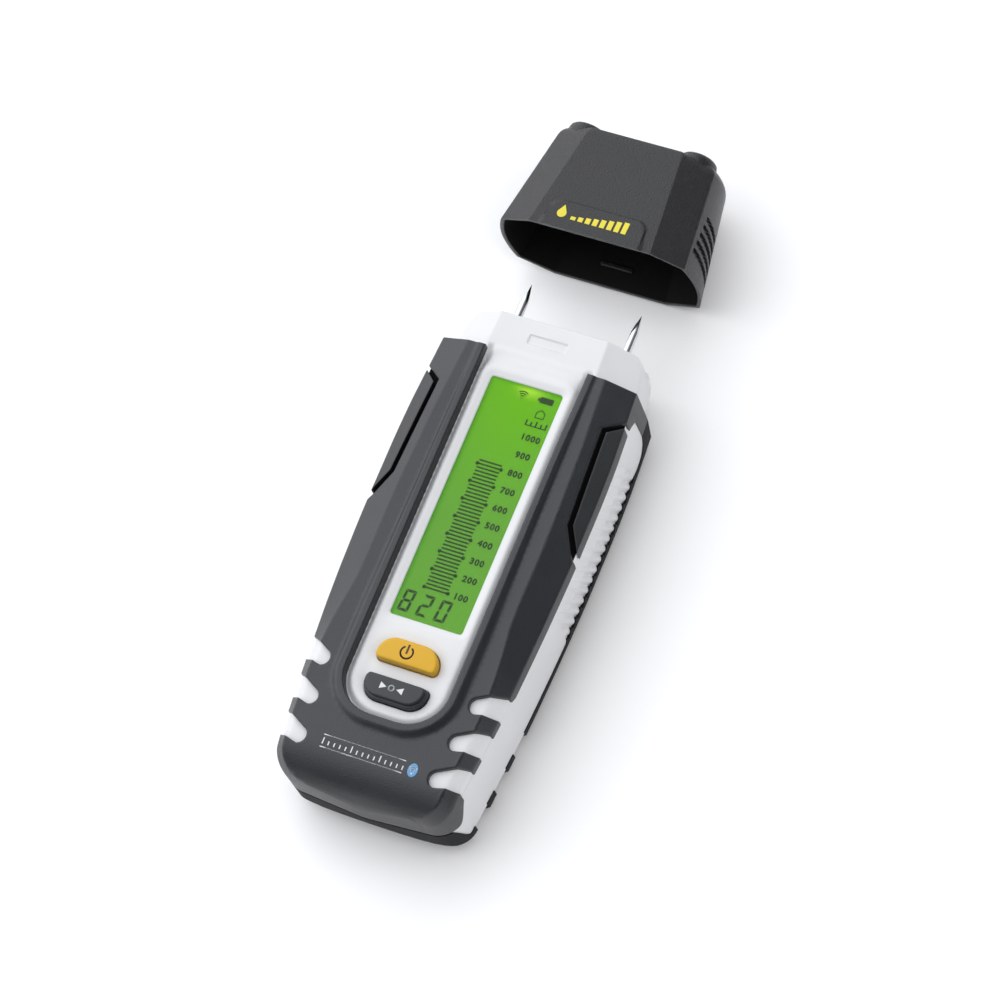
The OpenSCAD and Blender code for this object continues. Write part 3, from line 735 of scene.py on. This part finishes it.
ys = np.arange(25.6, -87.2, -0.8)
head_half = track([(25, 25.1), (30, 25.0), (35, 24.0), (37.6, 22.9)])
head_y = np.arange(26.2, 37.0, 0.6)
shell_right = np.concatenate([
    rounded([(0, HEAD_TOP_Y - 0.001), (22.6, HEAD_TOP_Y), (24.6, 33), (24.6, 20)], [0, 1.6, 0, 0])[:-2],
    np.stack([head_half(head_y[::-1][4:]), head_y[::-1][4:]], 1),
    np.stack([side(ys) - 0.45, ys], 1),
    arc(*CORNER[:2], 6.75, -4, -88, 12),
    [(9, -94.8), (0, -95.3)]])
shell_loop = np.concatenate([mirror_shared(shell_right)[1:], [(0, HEAD_TOP_Y)]])
latch_lines = [dense(rounded(grown(LATCH, o), 0.3), 0.4) for o in (-0.3, -0.12, 0, 0.12, 0.3)]
step_lines = [[(v, h) for v in np.arange(-25, 25, 0.6)] for h in np.arange(25.3, 29.3, 0.3)]
head_facets = [[(s * (15.4 - 0.05 * (h - 26)) + o, h) for h in np.arange(26, 37.5, 0.7)]
               for s in (1, -1) for o in (-0.4, 0, 0.4)]
panel_lines = [u_line(-d) for d in (0.25, 0.5, 1.0, 1.5, 2.0)]
panel_lines += [dense(rounded(grown(WINDOW, d), 0.8 + d), 0.7) for d in (0.5, 1.0, 1.5, 2.0, 3.0)]
front_shell = plate("front_shell", shell_loop, shell_height, PART_Z, M["white_shell"],
                    holes=[rounded(grown(WINDOW, 0), 0.8), key_outline(*POWER, 0.22), key_outline(*MODE, 0.22)],
                    ring=0.6, step=1.2, edge=0.3, lines=latch_lines + step_lines + head_facets + panel_lines)
belongs(front_shell, "meter", "white_shell", "front_housing")


# ---------- white side strips ----------

RIB_PITCH = 2.95


def strip_x(y, z):
    lean = (y + 0.42 * (z - 15)) / RIB_PITCH
    wave = 0.5 - 0.5 * np.cos(2 * math.pi * lean)
    on = ease(-34.5, -32.5, y) * ease(14.5, 12.0, y)
    return side(y) - 0.28 - 0.62 * on * wave ** 1.3


for sign, word in SIDES:
    def lay(v, s=sign):
        return np.stack([s * v[:, 2], v[:, 0], v[:, 1]], 1)
    strip = plate("side_strip_" + word, rounded(box(-92.0, 4.6, 22.6, 24.6), 2), strip_x,
                  lambda y, z: side(y) - 2.0, M["white_trim"], ring=0.7, step=0.62, edge=0.5, place=lay)
    belongs(strip, "meter", "white_trim", "side_trim_" + word)


# ---------- rear grip ----------

def back_height(x, y):
    """Rear surface, measured downwards (so that larger is further out)."""
    w = side(y)
    z = -0.45 * soft_ramp(np.abs(x) - np.minimum(19.0, w - 3.0), 0.5)
    heel = np.clip(HEEL_Y - y, 0, HEEL_R - 0.01)
    z = z - (HEEL_R - np.sqrt(HEEL_R ** 2 - heel ** 2))
    label = box_distance(x, y, 0, 11.5, 12.5, 7.5, 1.0)
    z = z - 0.35 * ease(0.1, -0.1, label)
    bars = box_distance(np.abs(x), y, 17.2, -34, 1.5, 24, 1.4)
    return z - 0.3 * ease(0.15, -0.15, bars) * (0.5 + 0.5 * np.cos(2 * math.pi * y / 3.0))


def sill(y):
    """Height of the upper edge of the rear grip, with the row of teeth that follows the ribs."""
    saw = ((y + 0.9) / RIB_PITCH) % 1.0
    tooth = 1.25 * np.clip(np.minimum((saw - 0.1) / 0.7, (1.0 - saw) / 0.12), 0, 1)
    z = SILL_Z + tooth * ease(-35.0, -33.5, y) * ease(13.5, 12.2, y)
    z = z + (PART_Z - 0.14 - SILL_Z) * ease(-88.5, -92.5, y)
    arch = np.clip((y - 17.0) / (ARCH_Y1 - 17.0), 0, 1)
    z = z + (TOP_PART_Z - SILL_Z) * (1 - np.sqrt(1 - arch * arch))
    return np.where(y > ARCH_Y1, TOP_PART_Z - 0.12, z)


def back_base(x, y):
    rim = np.minimum(side(y) - np.abs(x), y - end_line(x))
    return np.where(rim < 2.0, -sill(y), np.minimum(back_height(x, y) - 2.2, -2.2))


rear_side = side_path([notch_path(-1.2, i) for i in range(3)], BODY_TOP_Y, -87.2, step=0.3)
rear_right = np.concatenate([[(0, BODY_TOP_Y)], rear_side, end_arc, bottom[:-1], [(0, -95.8)]])
rear_loop = mirror_shared(rear_right)
post_holes = [circle(s * px, py, 3.0, 28) for s in (1, -1) for px, py in ((18.6, 14), (16.2, -79))]
bevel_lines = [np.stack([s * (np.minimum(19.0, side(crease_y) - 3.0) + o), crease_y], 1)
               for s in (1, -1) for o in (-0.5, 0, 0.5)]
label_lines = [dense(rounded(grown(LABEL, o), 1.0), 0.6) for o in (-0.3, -0.1, 0.1, 0.3)]
rear_grip = plate("rear_grip_skin", rear_loop, back_height, back_base, M["rear_grip"],
                  holes=[rounded(box(-13, -64, 13, -4), 0.6)] + post_holes, ring=0.32, step=1.2, edge=0.35,
                  lines=bevel_lines + label_lines, place=lambda v: lean_top(flipped(v)))
belongs(rear_grip, "meter", "dark_grip", "rear_grip")


def head_back(x, y):
    """Rear surface of the head, just outside the CAD solid, measured downwards."""
    return -4.25 - 0.44 * soft_ramp(np.abs(x) - 15, 0.5) - 1.1 * ease(22.3, 24.9, np.abs(x))


latch_hole = rounded(box(-5.2, 31, 5.2, 33.5), 0.3)
head_rear_right = np.concatenate([
    [(0, HEAD_TOP_Y)],
    rounded([(22.6, HEAD_TOP_Y), (24.6, 33), (24.6, 20), (0, 37)], [1.6, 0, 0, 0])[:-3],
    np.stack([head_half(head_y[::-1][4:]), head_y[::-1][4:]], 1),
    [(25.1, 25.4), (0, 25.4)]])
head_rear = plate("head_rear", mirror_shared(head_rear_right), head_back, -PART_Z, M["white_shell"],
                  holes=[latch_hole], ring=0.7, step=1.4, edge=0.6, place=flipped)
belongs(head_rear, "meter", "white_shell")


# ---------- display ----------

LCD_Z = 29.35
lcd = plate("lcd_face", rounded(box(-10.6, -48.7, 10.6, 20.3), 1.0), flat_at(LCD_Z), LCD_Z - 1.6,
            M["lcd_glass"], ring=1.5, step=2.5, edge=0)
belongs(lcd, "meter", "lcd_glass", "display_panel")
pane = plate("window_pane", rounded(box(-10.4, -48.5, 10.4, 20.1), 1.0), flat_at(LCD_Z + 0.16), LCD_Z + 0.08,
             M["clear_window"], ring=1.5, step=2.5, edge=0)
belongs(pane, "meter", "clear_window", "display_window")


def ink(name, polygons, mat, surface, lift=0.04, depth=0.14):
    """Thin raised print: each flat outline becomes a small prism that follows the surface under it."""
    verts, faces = [], []
    for p in polygons:
        p = np.asarray(p, float)
        z = surface(p[:, 0], p[:, 1]) + lift
        n, s = len(p), len(verts)
        verts += [(x, y, h) for (x, y), h in zip(p, z)] + [(x, y, h - depth) for (x, y), h in zip(p, z)]
        faces.append(tuple(range(s, s + n)))
        faces.append(tuple(range(s + 2 * n - 1, s + n - 1, -1)))
        faces += [(s + i, s + n + i, s + n + (i + 1) % n, s + (i + 1) % n) for i in range(n)]
    return mesh_piece(name, verts, faces, mat)


def bar(x0, y0, x1, y1, w, pieces=1):
    """Straight stroke of width w, cut into short pieces so that it can follow a curved surface."""
    a, b = np.array([x0, y0], float), np.array([x1, y1], float)
    d = (b - a) / pieces
    u = (b - a) / np.linalg.norm(b - a)
    s = np.array([-u[1], u[0]]) * w / 2
    return [[a + d * i - s, a + d * (i + 1) - s, a + d * (i + 1) + s, a + d * i + s] for i in range(pieces)]


def arc_stroke(cx, cy, r, w, a0, a1, n=18):
    """Curved stroke of width w from angle a0 to a1, in degrees."""
    a = np.radians(np.linspace(a0, a1, n + 1))
    lo, hi = r - w / 2, r + w / 2
    return [[(cx + k * math.cos(t), cy + k * math.sin(t)) for k, t in ((lo, p), (hi, p), (hi, q), (lo, q))]
            for p, q in zip(a[:-1], a[1:])]


graph = []
for i in range(37):
    y = -2.8 - i
    graph += bar(-4.15, y, 2.1, y, 0.46)
    if i % 5 == 1:
        graph += [circle(-4.3, y, 0.52, 14), circle(2.2, y, 0.52, 14)]


def seven_segment(x0, y0, w, h, t, lit, lean=0.085):
    """Polygons of the lit segments of one digit, named a to g."""
    g = 0.09
    m = h / 2
    seg = {
        "a": [(g, h), (w - g, h), (w - t - g, h - t), (t + g, h - t)],
        "d": [(g, 0), (t + g, t), (w - t - g, t), (w - g, 0)],
        "g": [(g + t / 2, m), (g + t, m + t / 2), (w - g - t, m + t / 2), (w - g - t / 2, m),
              (w - g - t, m - t / 2), (g + t, m - t / 2)],
        "f": [(0, h - g), (t, h - t - g), (t, m + t / 2 + g), (t / 2, m + g), (0, m + g + t / 2)],
        "e": [(0, g), (0, m - g - t / 2), (t / 2, m - g), (t, m - t / 2 - g), (t, t + g)],
        "b": [(w, h - g), (w, m + g + t / 2), (w - t / 2, m + g), (w - t, m + t / 2 + g), (w - t, h - t - g)],
        "c": [(w, g), (w - t, t + g), (w - t, m - t / 2 - g), (w - t / 2, m - g), (w, m - g - t / 2)],
    }
    return [[(x0 + px + lean * py, y0 + py) for px, py in seg[k]] for k in lit]


for left, lit in ((-8.75, "abcdefg"), (-3.75, "abdeg"), (1.15, "abcdef")):
    graph += seven_segment(left, -46.5, 3.0, 5.9, 0.72, lit)
# battery, house, radio waves, and a small scale
graph += [box(4.5, 16.2, 8.1, 17.9), box(3.9, 16.65, 4.5, 17.45)]
for ends in ((4.9, 12.1, 7.3, 12.1), (5.0, 12.1, 5.0, 13.6), (7.2, 12.1, 7.2, 13.6), (4.9, 13.5, 6.1, 14.4),
             (7.3, 13.5, 6.1, 14.4)):
    graph += bar(*ends, 0.26)
graph += [circle(-0.3, 16.0, 0.22, 12)]
for r in (0.75, 1.35, 1.95):
    graph += arc_stroke(-0.3, 16.0, r, 0.26, 50, 130, 8)
for i in range(5):
    graph += bar(3.4 + i * 1.35, 9.6, 3.4 + i * 1.35, 10.7 if i % 2 else 11.1, 0.42)
graph += bar(3.2, 9.6, 9.0, 9.6, 0.3)
lcd_marks = ink("lcd_marks", graph, M["lcd_ink"], flat_at(LCD_Z), lift=0.03, depth=0.06)
belongs(lcd_marks, "meter", "lcd_glass")


def lettering(name, rows, size, mat, height, bold, spacing):
    """Numerals laid flat, one string per row of (text, x of its left end, y of its middle)."""
    made = []
    for i, (string, x, y) in enumerate(rows):
        curve = bpy.data.curves.new(name + "_curve", "FONT")
        curve.body = string
        curve.size = size
        curve.extrude = 0.03
        curve.offset = bold
        curve.space_character = spacing
        curve.resolution_u = 3
        obj = new_object(name + "_curve", curve)
        bpy.context.view_layer.update()
        mesh = bpy.data.meshes.new_from_object(obj.evaluated_get(bpy.context.evaluated_depsgraph_get()))
        bpy.data.objects.remove(obj)
        co = np.array([v.co for v in mesh.vertices])
        co[:, 0] += x - co[:, 0].min()
        co[:, 1] += y - (co[:, 1].max() + co[:, 1].min()) / 2
        co[:, 2] += height
        mesh.vertices.foreach_set("co", (co * 0.001).ravel())
        mesh.materials.clear()
        mesh.materials.append(mat)
        made.append(new_object(f"{name}_{i}", mesh))
    return joined(name, made)


numbers = [("1000", 3.9, 6.35), ("900", 4.1, 1.35)]
numbers += [(f"{800 - 100 * k}", 4.15, -3.8 - 5 * k) for k in range(8)]
lcd_numbers = lettering("lcd_numbers", numbers, 2.3, M["lcd_ink"], LCD_Z + 0.03, bold=0.1, spacing=1.18)
belongs(lcd_numbers, "meter", "lcd_glass")


# ---------- keys ----------

def key_piece(name, spec, top_z, mat, dome, edge):
    half = spec[0]
    mid = (spec[1] + spec[2]) / 2
    return plate(name, key_outline(*spec),
                 lambda x, y: top_z + dome * (1 - (x / half) ** 2) - 0.3 * dome * ((y - mid) / 3.2) ** 2,
                 26.8, mat, ring=0.35, step=0.7, edge=edge)


POWER_TOP, POWER_DOME = 32.55, 0.2
MODE_TOP, MODE_DOME = 32.6, 0.15
power_key = key_piece("power_key_cap", POWER, POWER_TOP, M["yellow_key"], POWER_DOME, 0.45)
belongs(power_key, "power_key", "yellow_key", "power_button")
mode_low = key_piece("mode_key_cap", MODE, 31.5, M["dark_key"], 0.1, 0.3)
MODE_FACE = (MODE[0] - 0.6, MODE[1] + 0.6, MODE[2] - 0.15, MODE[3] - 0.5, 0.9)
mode_top = key_piece("mode_key_top", MODE_FACE, MODE_TOP, M["dark_key"], MODE_DOME, 0.35)
belongs(mode_low, "mode_key", "dark_key", "mode_button")
belongs(mode_top, "mode_key", "dark_key")


def domed(top_z, dome, half):
    """Face of a key for its printed mark to lie on."""
    return lambda x, y: top_z + dome * (1 - (x / half) ** 2)


glyph = arc_stroke(-0.4, -57.3, 1.62, 0.48, 122, 418, 26) + bar(-0.4, -55.2, -0.4, -57.7, 0.55)
power_glyph = ink("power_glyph", glyph, M["key_ink"], domed(POWER_TOP, POWER_DOME, POWER[0]), lift=0.02,
                  depth=0.2)
belongs(power_glyph, "power_key", "yellow_key")

cy = -67.15
glyph = [[(-3.5, cy - 0.9), (-1.75, cy), (-3.5, cy + 0.9)], [(2.7, cy - 0.9), (2.7, cy + 0.9), (0.95, cy)]]
glyph += arc_stroke(-0.4, cy, 0.7, 0.36, 0, 360, 20)
mode_glyph = ink("mode_glyph", glyph, M["white_ink"], domed(MODE_TOP, MODE_DOME, MODE_FACE[0]), lift=0.02,
                 depth=0.2)
belongs(mode_glyph, "mode_key", "dark_key")


# ---------- print on the lower grip ----------

marks = bar(-12.4, -82.9, 9.9, -82.9, 0.24, 12) + bar(-12.4, -86.1, 9.9, -86.1, 0.24, 12)
for i in range(15):
    x0 = -12.0 + 1.55 * i
    marks += bar(x0, -85.35, x0, -85.35 + (1.7 if i % 5 == 0 else 1.05), 0.3)
belongs(ink("lower_scale_print", marks, M["white_ink"], grip_height, lift=0.03), "meter", "dark_grip")
badge_loop = circle(0, 0, 1, 27) * [1.3, 1.8] + [12.4, -84.6]
badge = plate("wireless_badge", badge_loop, grip_offset(0.1, True), grip_offset(-0.3, True), M["blue_ink"],
              ring=0.4, step=0.6, edge=0.08)
belongs(badge, "meter", "dark_grip")
waves = [circle(12.4, -85.5, 0.22, 12)]
for r in (0.7, 1.25, 1.8):
    waves += arc_stroke(12.4, -85.6, r, 0.24, 58, 122, 6)
belongs(ink("wireless_waves", waves, M["white_ink"], grip_offset(0.1, True), lift=0.03), "meter", "dark_grip")


# ---------- rear label ----------

rear_label = plate("rear_label", rounded(box(-12.1, 4.4, 12.1, 18.6), 0.8), flat_at(-0.22), -0.5,
                   M["label_grey"], ring=1.2, step=2.5, edge=0.05, place=flipped)
belongs(rear_label, "meter", "dark_grip")


# ---------- electrodes ----------

tip = HEAD_TOP_Y + 14.6
collar_profile = [(36.5, 1.3), (37.75, 1.3), (37.95, 1.75), (37.95, 2.5), (37.6, 2.9), (36.5, 2.9)]
for sign, word in SIDES:
    profile = [(30, 0.9), (HEAD_TOP_Y - 0.1, 0.9), (HEAD_TOP_Y - 0.1, 1.1), (tip - 5.6, 1.1), (tip - 5.0, 1.06),
               (tip - 4.2, 0.94), (tip - 3.0, 0.70), (tip - 1.6, 0.38), (tip - 0.5, 0.14), (tip - 0.02, 0.03)]
    rod = turned("electrode_rod_" + word, profile, M["electrode_steel"], (sign * PIN_X, PART_Z), n=40, sharp=30)
    belongs(rod, "meter", "electrode_steel", "electrode_" + word)
    collar = turned("electrode_collar_" + word, collar_profile, M["white_shell"], (sign * PIN_X, PART_Z), n=40)
    belongs(collar, "meter", "white_shell")


# ---------- cap ----------

CAP_Y0, CAP_LEN = 62.3, 31.5
END_ROUND = 2.8                  # length over which the far end rounds off
SHOULDER = CAP_LEN - END_ROUND
# Half section at the mouth and at the shoulder: front corner, upper side corner, bulge of the side, lower side
# corner, rear corner
MOUTH = [(16.9, 31.5), (25.6, 27.5), 1.9, (26.0, 5.2), (16, 1)]
FAR = [(13.4, 27.7), (21.9, 23.8), 1.5, (22.2, 8.2), (12.8, 5)]
counts = None            # points per stretch, fixed by the first ring so that all rings match


def cap_section(s, t=0.0):
    """Ring of the cap at distance s from its mouth, set in by t, starting at the middle of the front."""
    global counts
    f = s / SHOULDER
    a, b, bulge, c, d = [np.array(m, float) * (1 - f) + np.array(e, float) * f for m, e in zip(MOUTH, FAR)]
    over = max(0.0, s - SHOULDER) / END_ROUND
    fall = 1 - math.sqrt(max(0.0, 1 - over * over))
    shrink, drop = t + 2.6 * fall, t + 0.5 * fall
    u = np.linspace(0, 1, 15)
    wall = [(b[0] * (1 - v) + c[0] * v + 4 * bulge * v * (1 - v) - shrink,
             (b[1] - 0.55 * drop) * (1 - v) + (c[1] + 0.55 * drop) * v) for v in u]
    front, back = a[1] - drop, d[1] + drop
    pts = [(0, front), (a[0] - 0.3 * shrink, front)] + wall + [(d[0] - 0.3 * shrink, back), (0, back)]
    r = max(0.3, 0.5 + 0.6 * f - 0.3 * t)
    half = rounded(pts, [0, r, r] + [0] * (len(wall) - 2) + [r, r, 0], 5)
    if counts is None:
        counts = [max(1, int(round(np.linalg.norm(q - p) / 0.55))) for p, q in zip(half[:-1], half[1:])]
    line = [half[i] + (half[i + 1] - half[i]) * k / n for i, n in enumerate(counts) for k in range(n)]
    return mirror_shared(np.array(line + [half[-1]]))


def cap_outer(s):
    """Outer ring with the badge plateau and the grip grooves worked into it."""
    ring = cap_section(s)
    x, z = ring[:, 0].copy(), ring[:, 1].copy()
    f = min(s / SHOULDER, 1)
    top = ring[:, 1] > (27.85 * (1 - f) + 24 * f) + 0.5
    d = box_distance(x, np.full(len(x), s), 0, 3.4, 14.2 - 0.18 * s, 4.9, 2.4)
    z += np.where(top, 0.5 * ease(0.2, -0.35, d), 0)
    wall = (np.abs(x) > 20.5 - 1.5 * f) & (z < 28 - 3.5 * f) & (z > 4)
    cut = np.zeros(len(x))
    for i in range(5):
        mid = CAP_LEN - 15.2 - 2.7 * i
        y_line = mid + 0.14 * (z - 16)
        hi, lo = 22.4 + 0.75 * i, 11.0 - 1.2 * i
        across = np.abs(s - y_line)
        along = np.minimum(hi - z, z - lo)
        cut = np.maximum(cut, ease(0.78, 0.5, across) * ease(-0.1, 0.6, along))
    x -= np.where(wall, np.sign(x) * 0.75 * cut, 0)
    return np.stack([x, np.full(len(x), CAP_Y0 + s), z], 1)


def cap_inner(s, t=0.95):
    ring = cap_section(s, t)
    return np.stack([ring[:, 0], np.full(len(ring), CAP_Y0 + s), ring[:, 1]], 1)


outer_s = [0.0, 0.12, 0.35, 0.7, 1.1, 1.5, 1.9]
outer_s += list(np.arange(2.3, 18.6, 0.26)) + list(np.arange(19.0, SHOULDER, 0.8))
outer_s += [SHOULDER + END_ROUND * v for v in (0, 0.15, 0.3, 0.45, 0.6, 0.72, 0.82, 0.9, 0.96, 0.995)]
inner_s = [0.0, 0.25] + list(np.arange(1.5, SHOULDER - 0.6, 1.5))
inner_s += [SHOULDER + v for v in (-0.2, 0.4, 0.9, 1.2)]


def with_end(rings, scales):
    """Rings followed by smaller copies of the last one, which close the end nearly flat."""
    last = rings[-1]
    middle = last[:, 2].mean()
    return rings + [np.stack([last[:, 0] * k, last[:, 1], middle + (last[:, 2] - middle) * k], 1)
                    for k in scales]


outside = with_end([cap_outer(s) for s in outer_s], (0.85, 0.6, 0.3))
inside = with_end([cap_inner(0.0, 0.75)] + [cap_inner(s) for s in inner_s[1:]], (0.8, 0.4))
cap_skin = loft("cap_skin", inside[::-1] + outside, M["cap_black"], sharp=32)
cap_skin.data.materials.append(M["cap_inside"])
AXIS_Z = 17.0
# painted shade: faces inside the hollow get cap_inside, a darker, duller copy of the cap plastic
for face in cap_skin.data.polygons:      # the hollow looks darker than the grained outside
    centre, normal = face.center * 1000, face.normal
    faces_axis = normal.x * centre.x + normal.z * (centre.z - AXIS_Z) < 0
    inner_end = normal.y < -0.7 and CAP_Y0 + 5 < centre.y < CAP_Y0 + CAP_LEN - 0.6
    if (faces_axis and centre.y > CAP_Y0 + 0.4) or inner_end:
        face.material_index = 1
belongs(cap_skin, "cap", "cap_black", "cap_shell")

for sign, word in SIDES:
    profile = [(84.0, 4.9), (90, 5.2), (94.2, 5.2), (95.1, 4.95), (95.6, 4.4), (95.8, 3.7), (95.8, 1.2)]
    boss = turned("cap_boss_" + word, profile, M["cap_black"], (sign * 15.6, 20.4), n=48)
    belongs(boss, "cap", "cap_black")
rib_loop = rounded(box(-4.6, CAP_Y0 + 5.0, 4.6, CAP_Y0 + 6.4), 0.5)
ribs = [plate("cap_rib", rib_loop, flat_at(z1), z0, M["cap_black"], ring=0.4, step=0.6, edge=0.3)
        for z0, z1 in ((29.1, 30.6), (2.0, 3.3))]
belongs(joined("cap_ribs", ribs), "cap", "cap_black")


def cap_front(x, y):
    """Front of the cap with the plateau that carries its emblem."""
    return 31.5 - 3.8 * (y - CAP_Y0) / SHOULDER + 0.5


# yellow emblem: a drop and eight bars of rising height
DROP_X, EMBLEM_Y = -9.4, 65.4
emblem = [np.concatenate([arc(DROP_X, EMBLEM_Y + 1.2, 1.25, 150, 390, 22), [(DROP_X, EMBLEM_Y + 3.8)]])]
for i in range(8):
    x0 = -6.6 + i * 2.0
    emblem.append(box(x0, EMBLEM_Y, x0 + 1.35, EMBLEM_Y + 1.0 + 0.35 * i))
belongs(ink("cap_emblem", emblem, M["yellow_ink"], cap_front, lift=0.05, depth=0.25), "cap", "cap_black")


# ---------- floor, light, camera ----------

floor = bpy.data.meshes.new("floor")
floor.from_pydata([(-4, -4, 0), (4, -4, 0), (4, 4, 0), (-4, 4, 0)], [], [(0, 1, 2, 3)])
floor.materials.append(material("floor_white", (0.95, 0.95, 0.95), rough=0.8, rough_var=0.02, tint=0.004,
                                spec=0.1, blotch=3))
floor_obj = new_object("floor", floor)
floor_obj.location = (0, 0, -0.0002)

WORLD_DARK, WORLD_BRIGHT = 0.2, 2.1     # radiance away from the window side and towards it

world = bpy.data.worlds.new("studio")
bpy.context.scene.world = world
world.use_nodes = True
sky = world.node_tree
back = sky.nodes["Background"]
back.inputs["Color"].default_value = (0.975, 0.987, 1.02, 1)
facing = sky.nodes.new("ShaderNodeTexCoord")
along = sky.nodes.new("ShaderNodeVectorMath")
along.operation = "DOT_PRODUCT"
along.inputs[1].default_value = (-0.75, 0.3, 0.55)
sky.links.new(facing.outputs["Generated"], along.inputs[0])
tone = map_range(sky.nodes.new, sky.links.new, along.outputs["Value"], (0.2, 0.9), (WORLD_DARK, WORLD_BRIGHT),
                 smooth=True)
sky.links.new(tone, back.inputs["Strength"])


def area(name, where, size, power):
    """Square soft box pointed at the meter, all in metres, left out of reflections."""
    data = bpy.data.lights.new(name, "AREA")
    data.shape = "SQUARE"
    data.size = size
    data.energy = power
    lamp = new_object(name, data)
    lamp.visible_glossy = False
    lamp.location = where
    lamp.rotation_euler = (Vector((0, 0, 0.015)) - Vector(where)).to_track_quat("-Z", "Y").to_euler()


area("fill", (0.9, 0.0, 1.3), 1.4, 9.5)
area("side", (1.3, -0.2, 0.35), 0.6, 2.7)

camera_data = bpy.data.cameras.new("camera")
camera_data.lens = 148.99
camera_data.sensor_width = 36
camera_data.clip_end = 20
camera = new_object("camera", camera_data)
turn_to = Matrix(((0.90461745, -0.27649529, 0.32437267), (0.37534799, 0.87736166, -0.29891537),
                  (-0.20194345, 0.39215669, 0.89745862)))
camera.matrix_world = Matrix.Translation((0.3392, -0.3193, 0.9537)) @ turn_to.to_4x4()
bpy.context.scene.camera = camera
bpy.context.scene.view_settings.view_transform = "Standard"
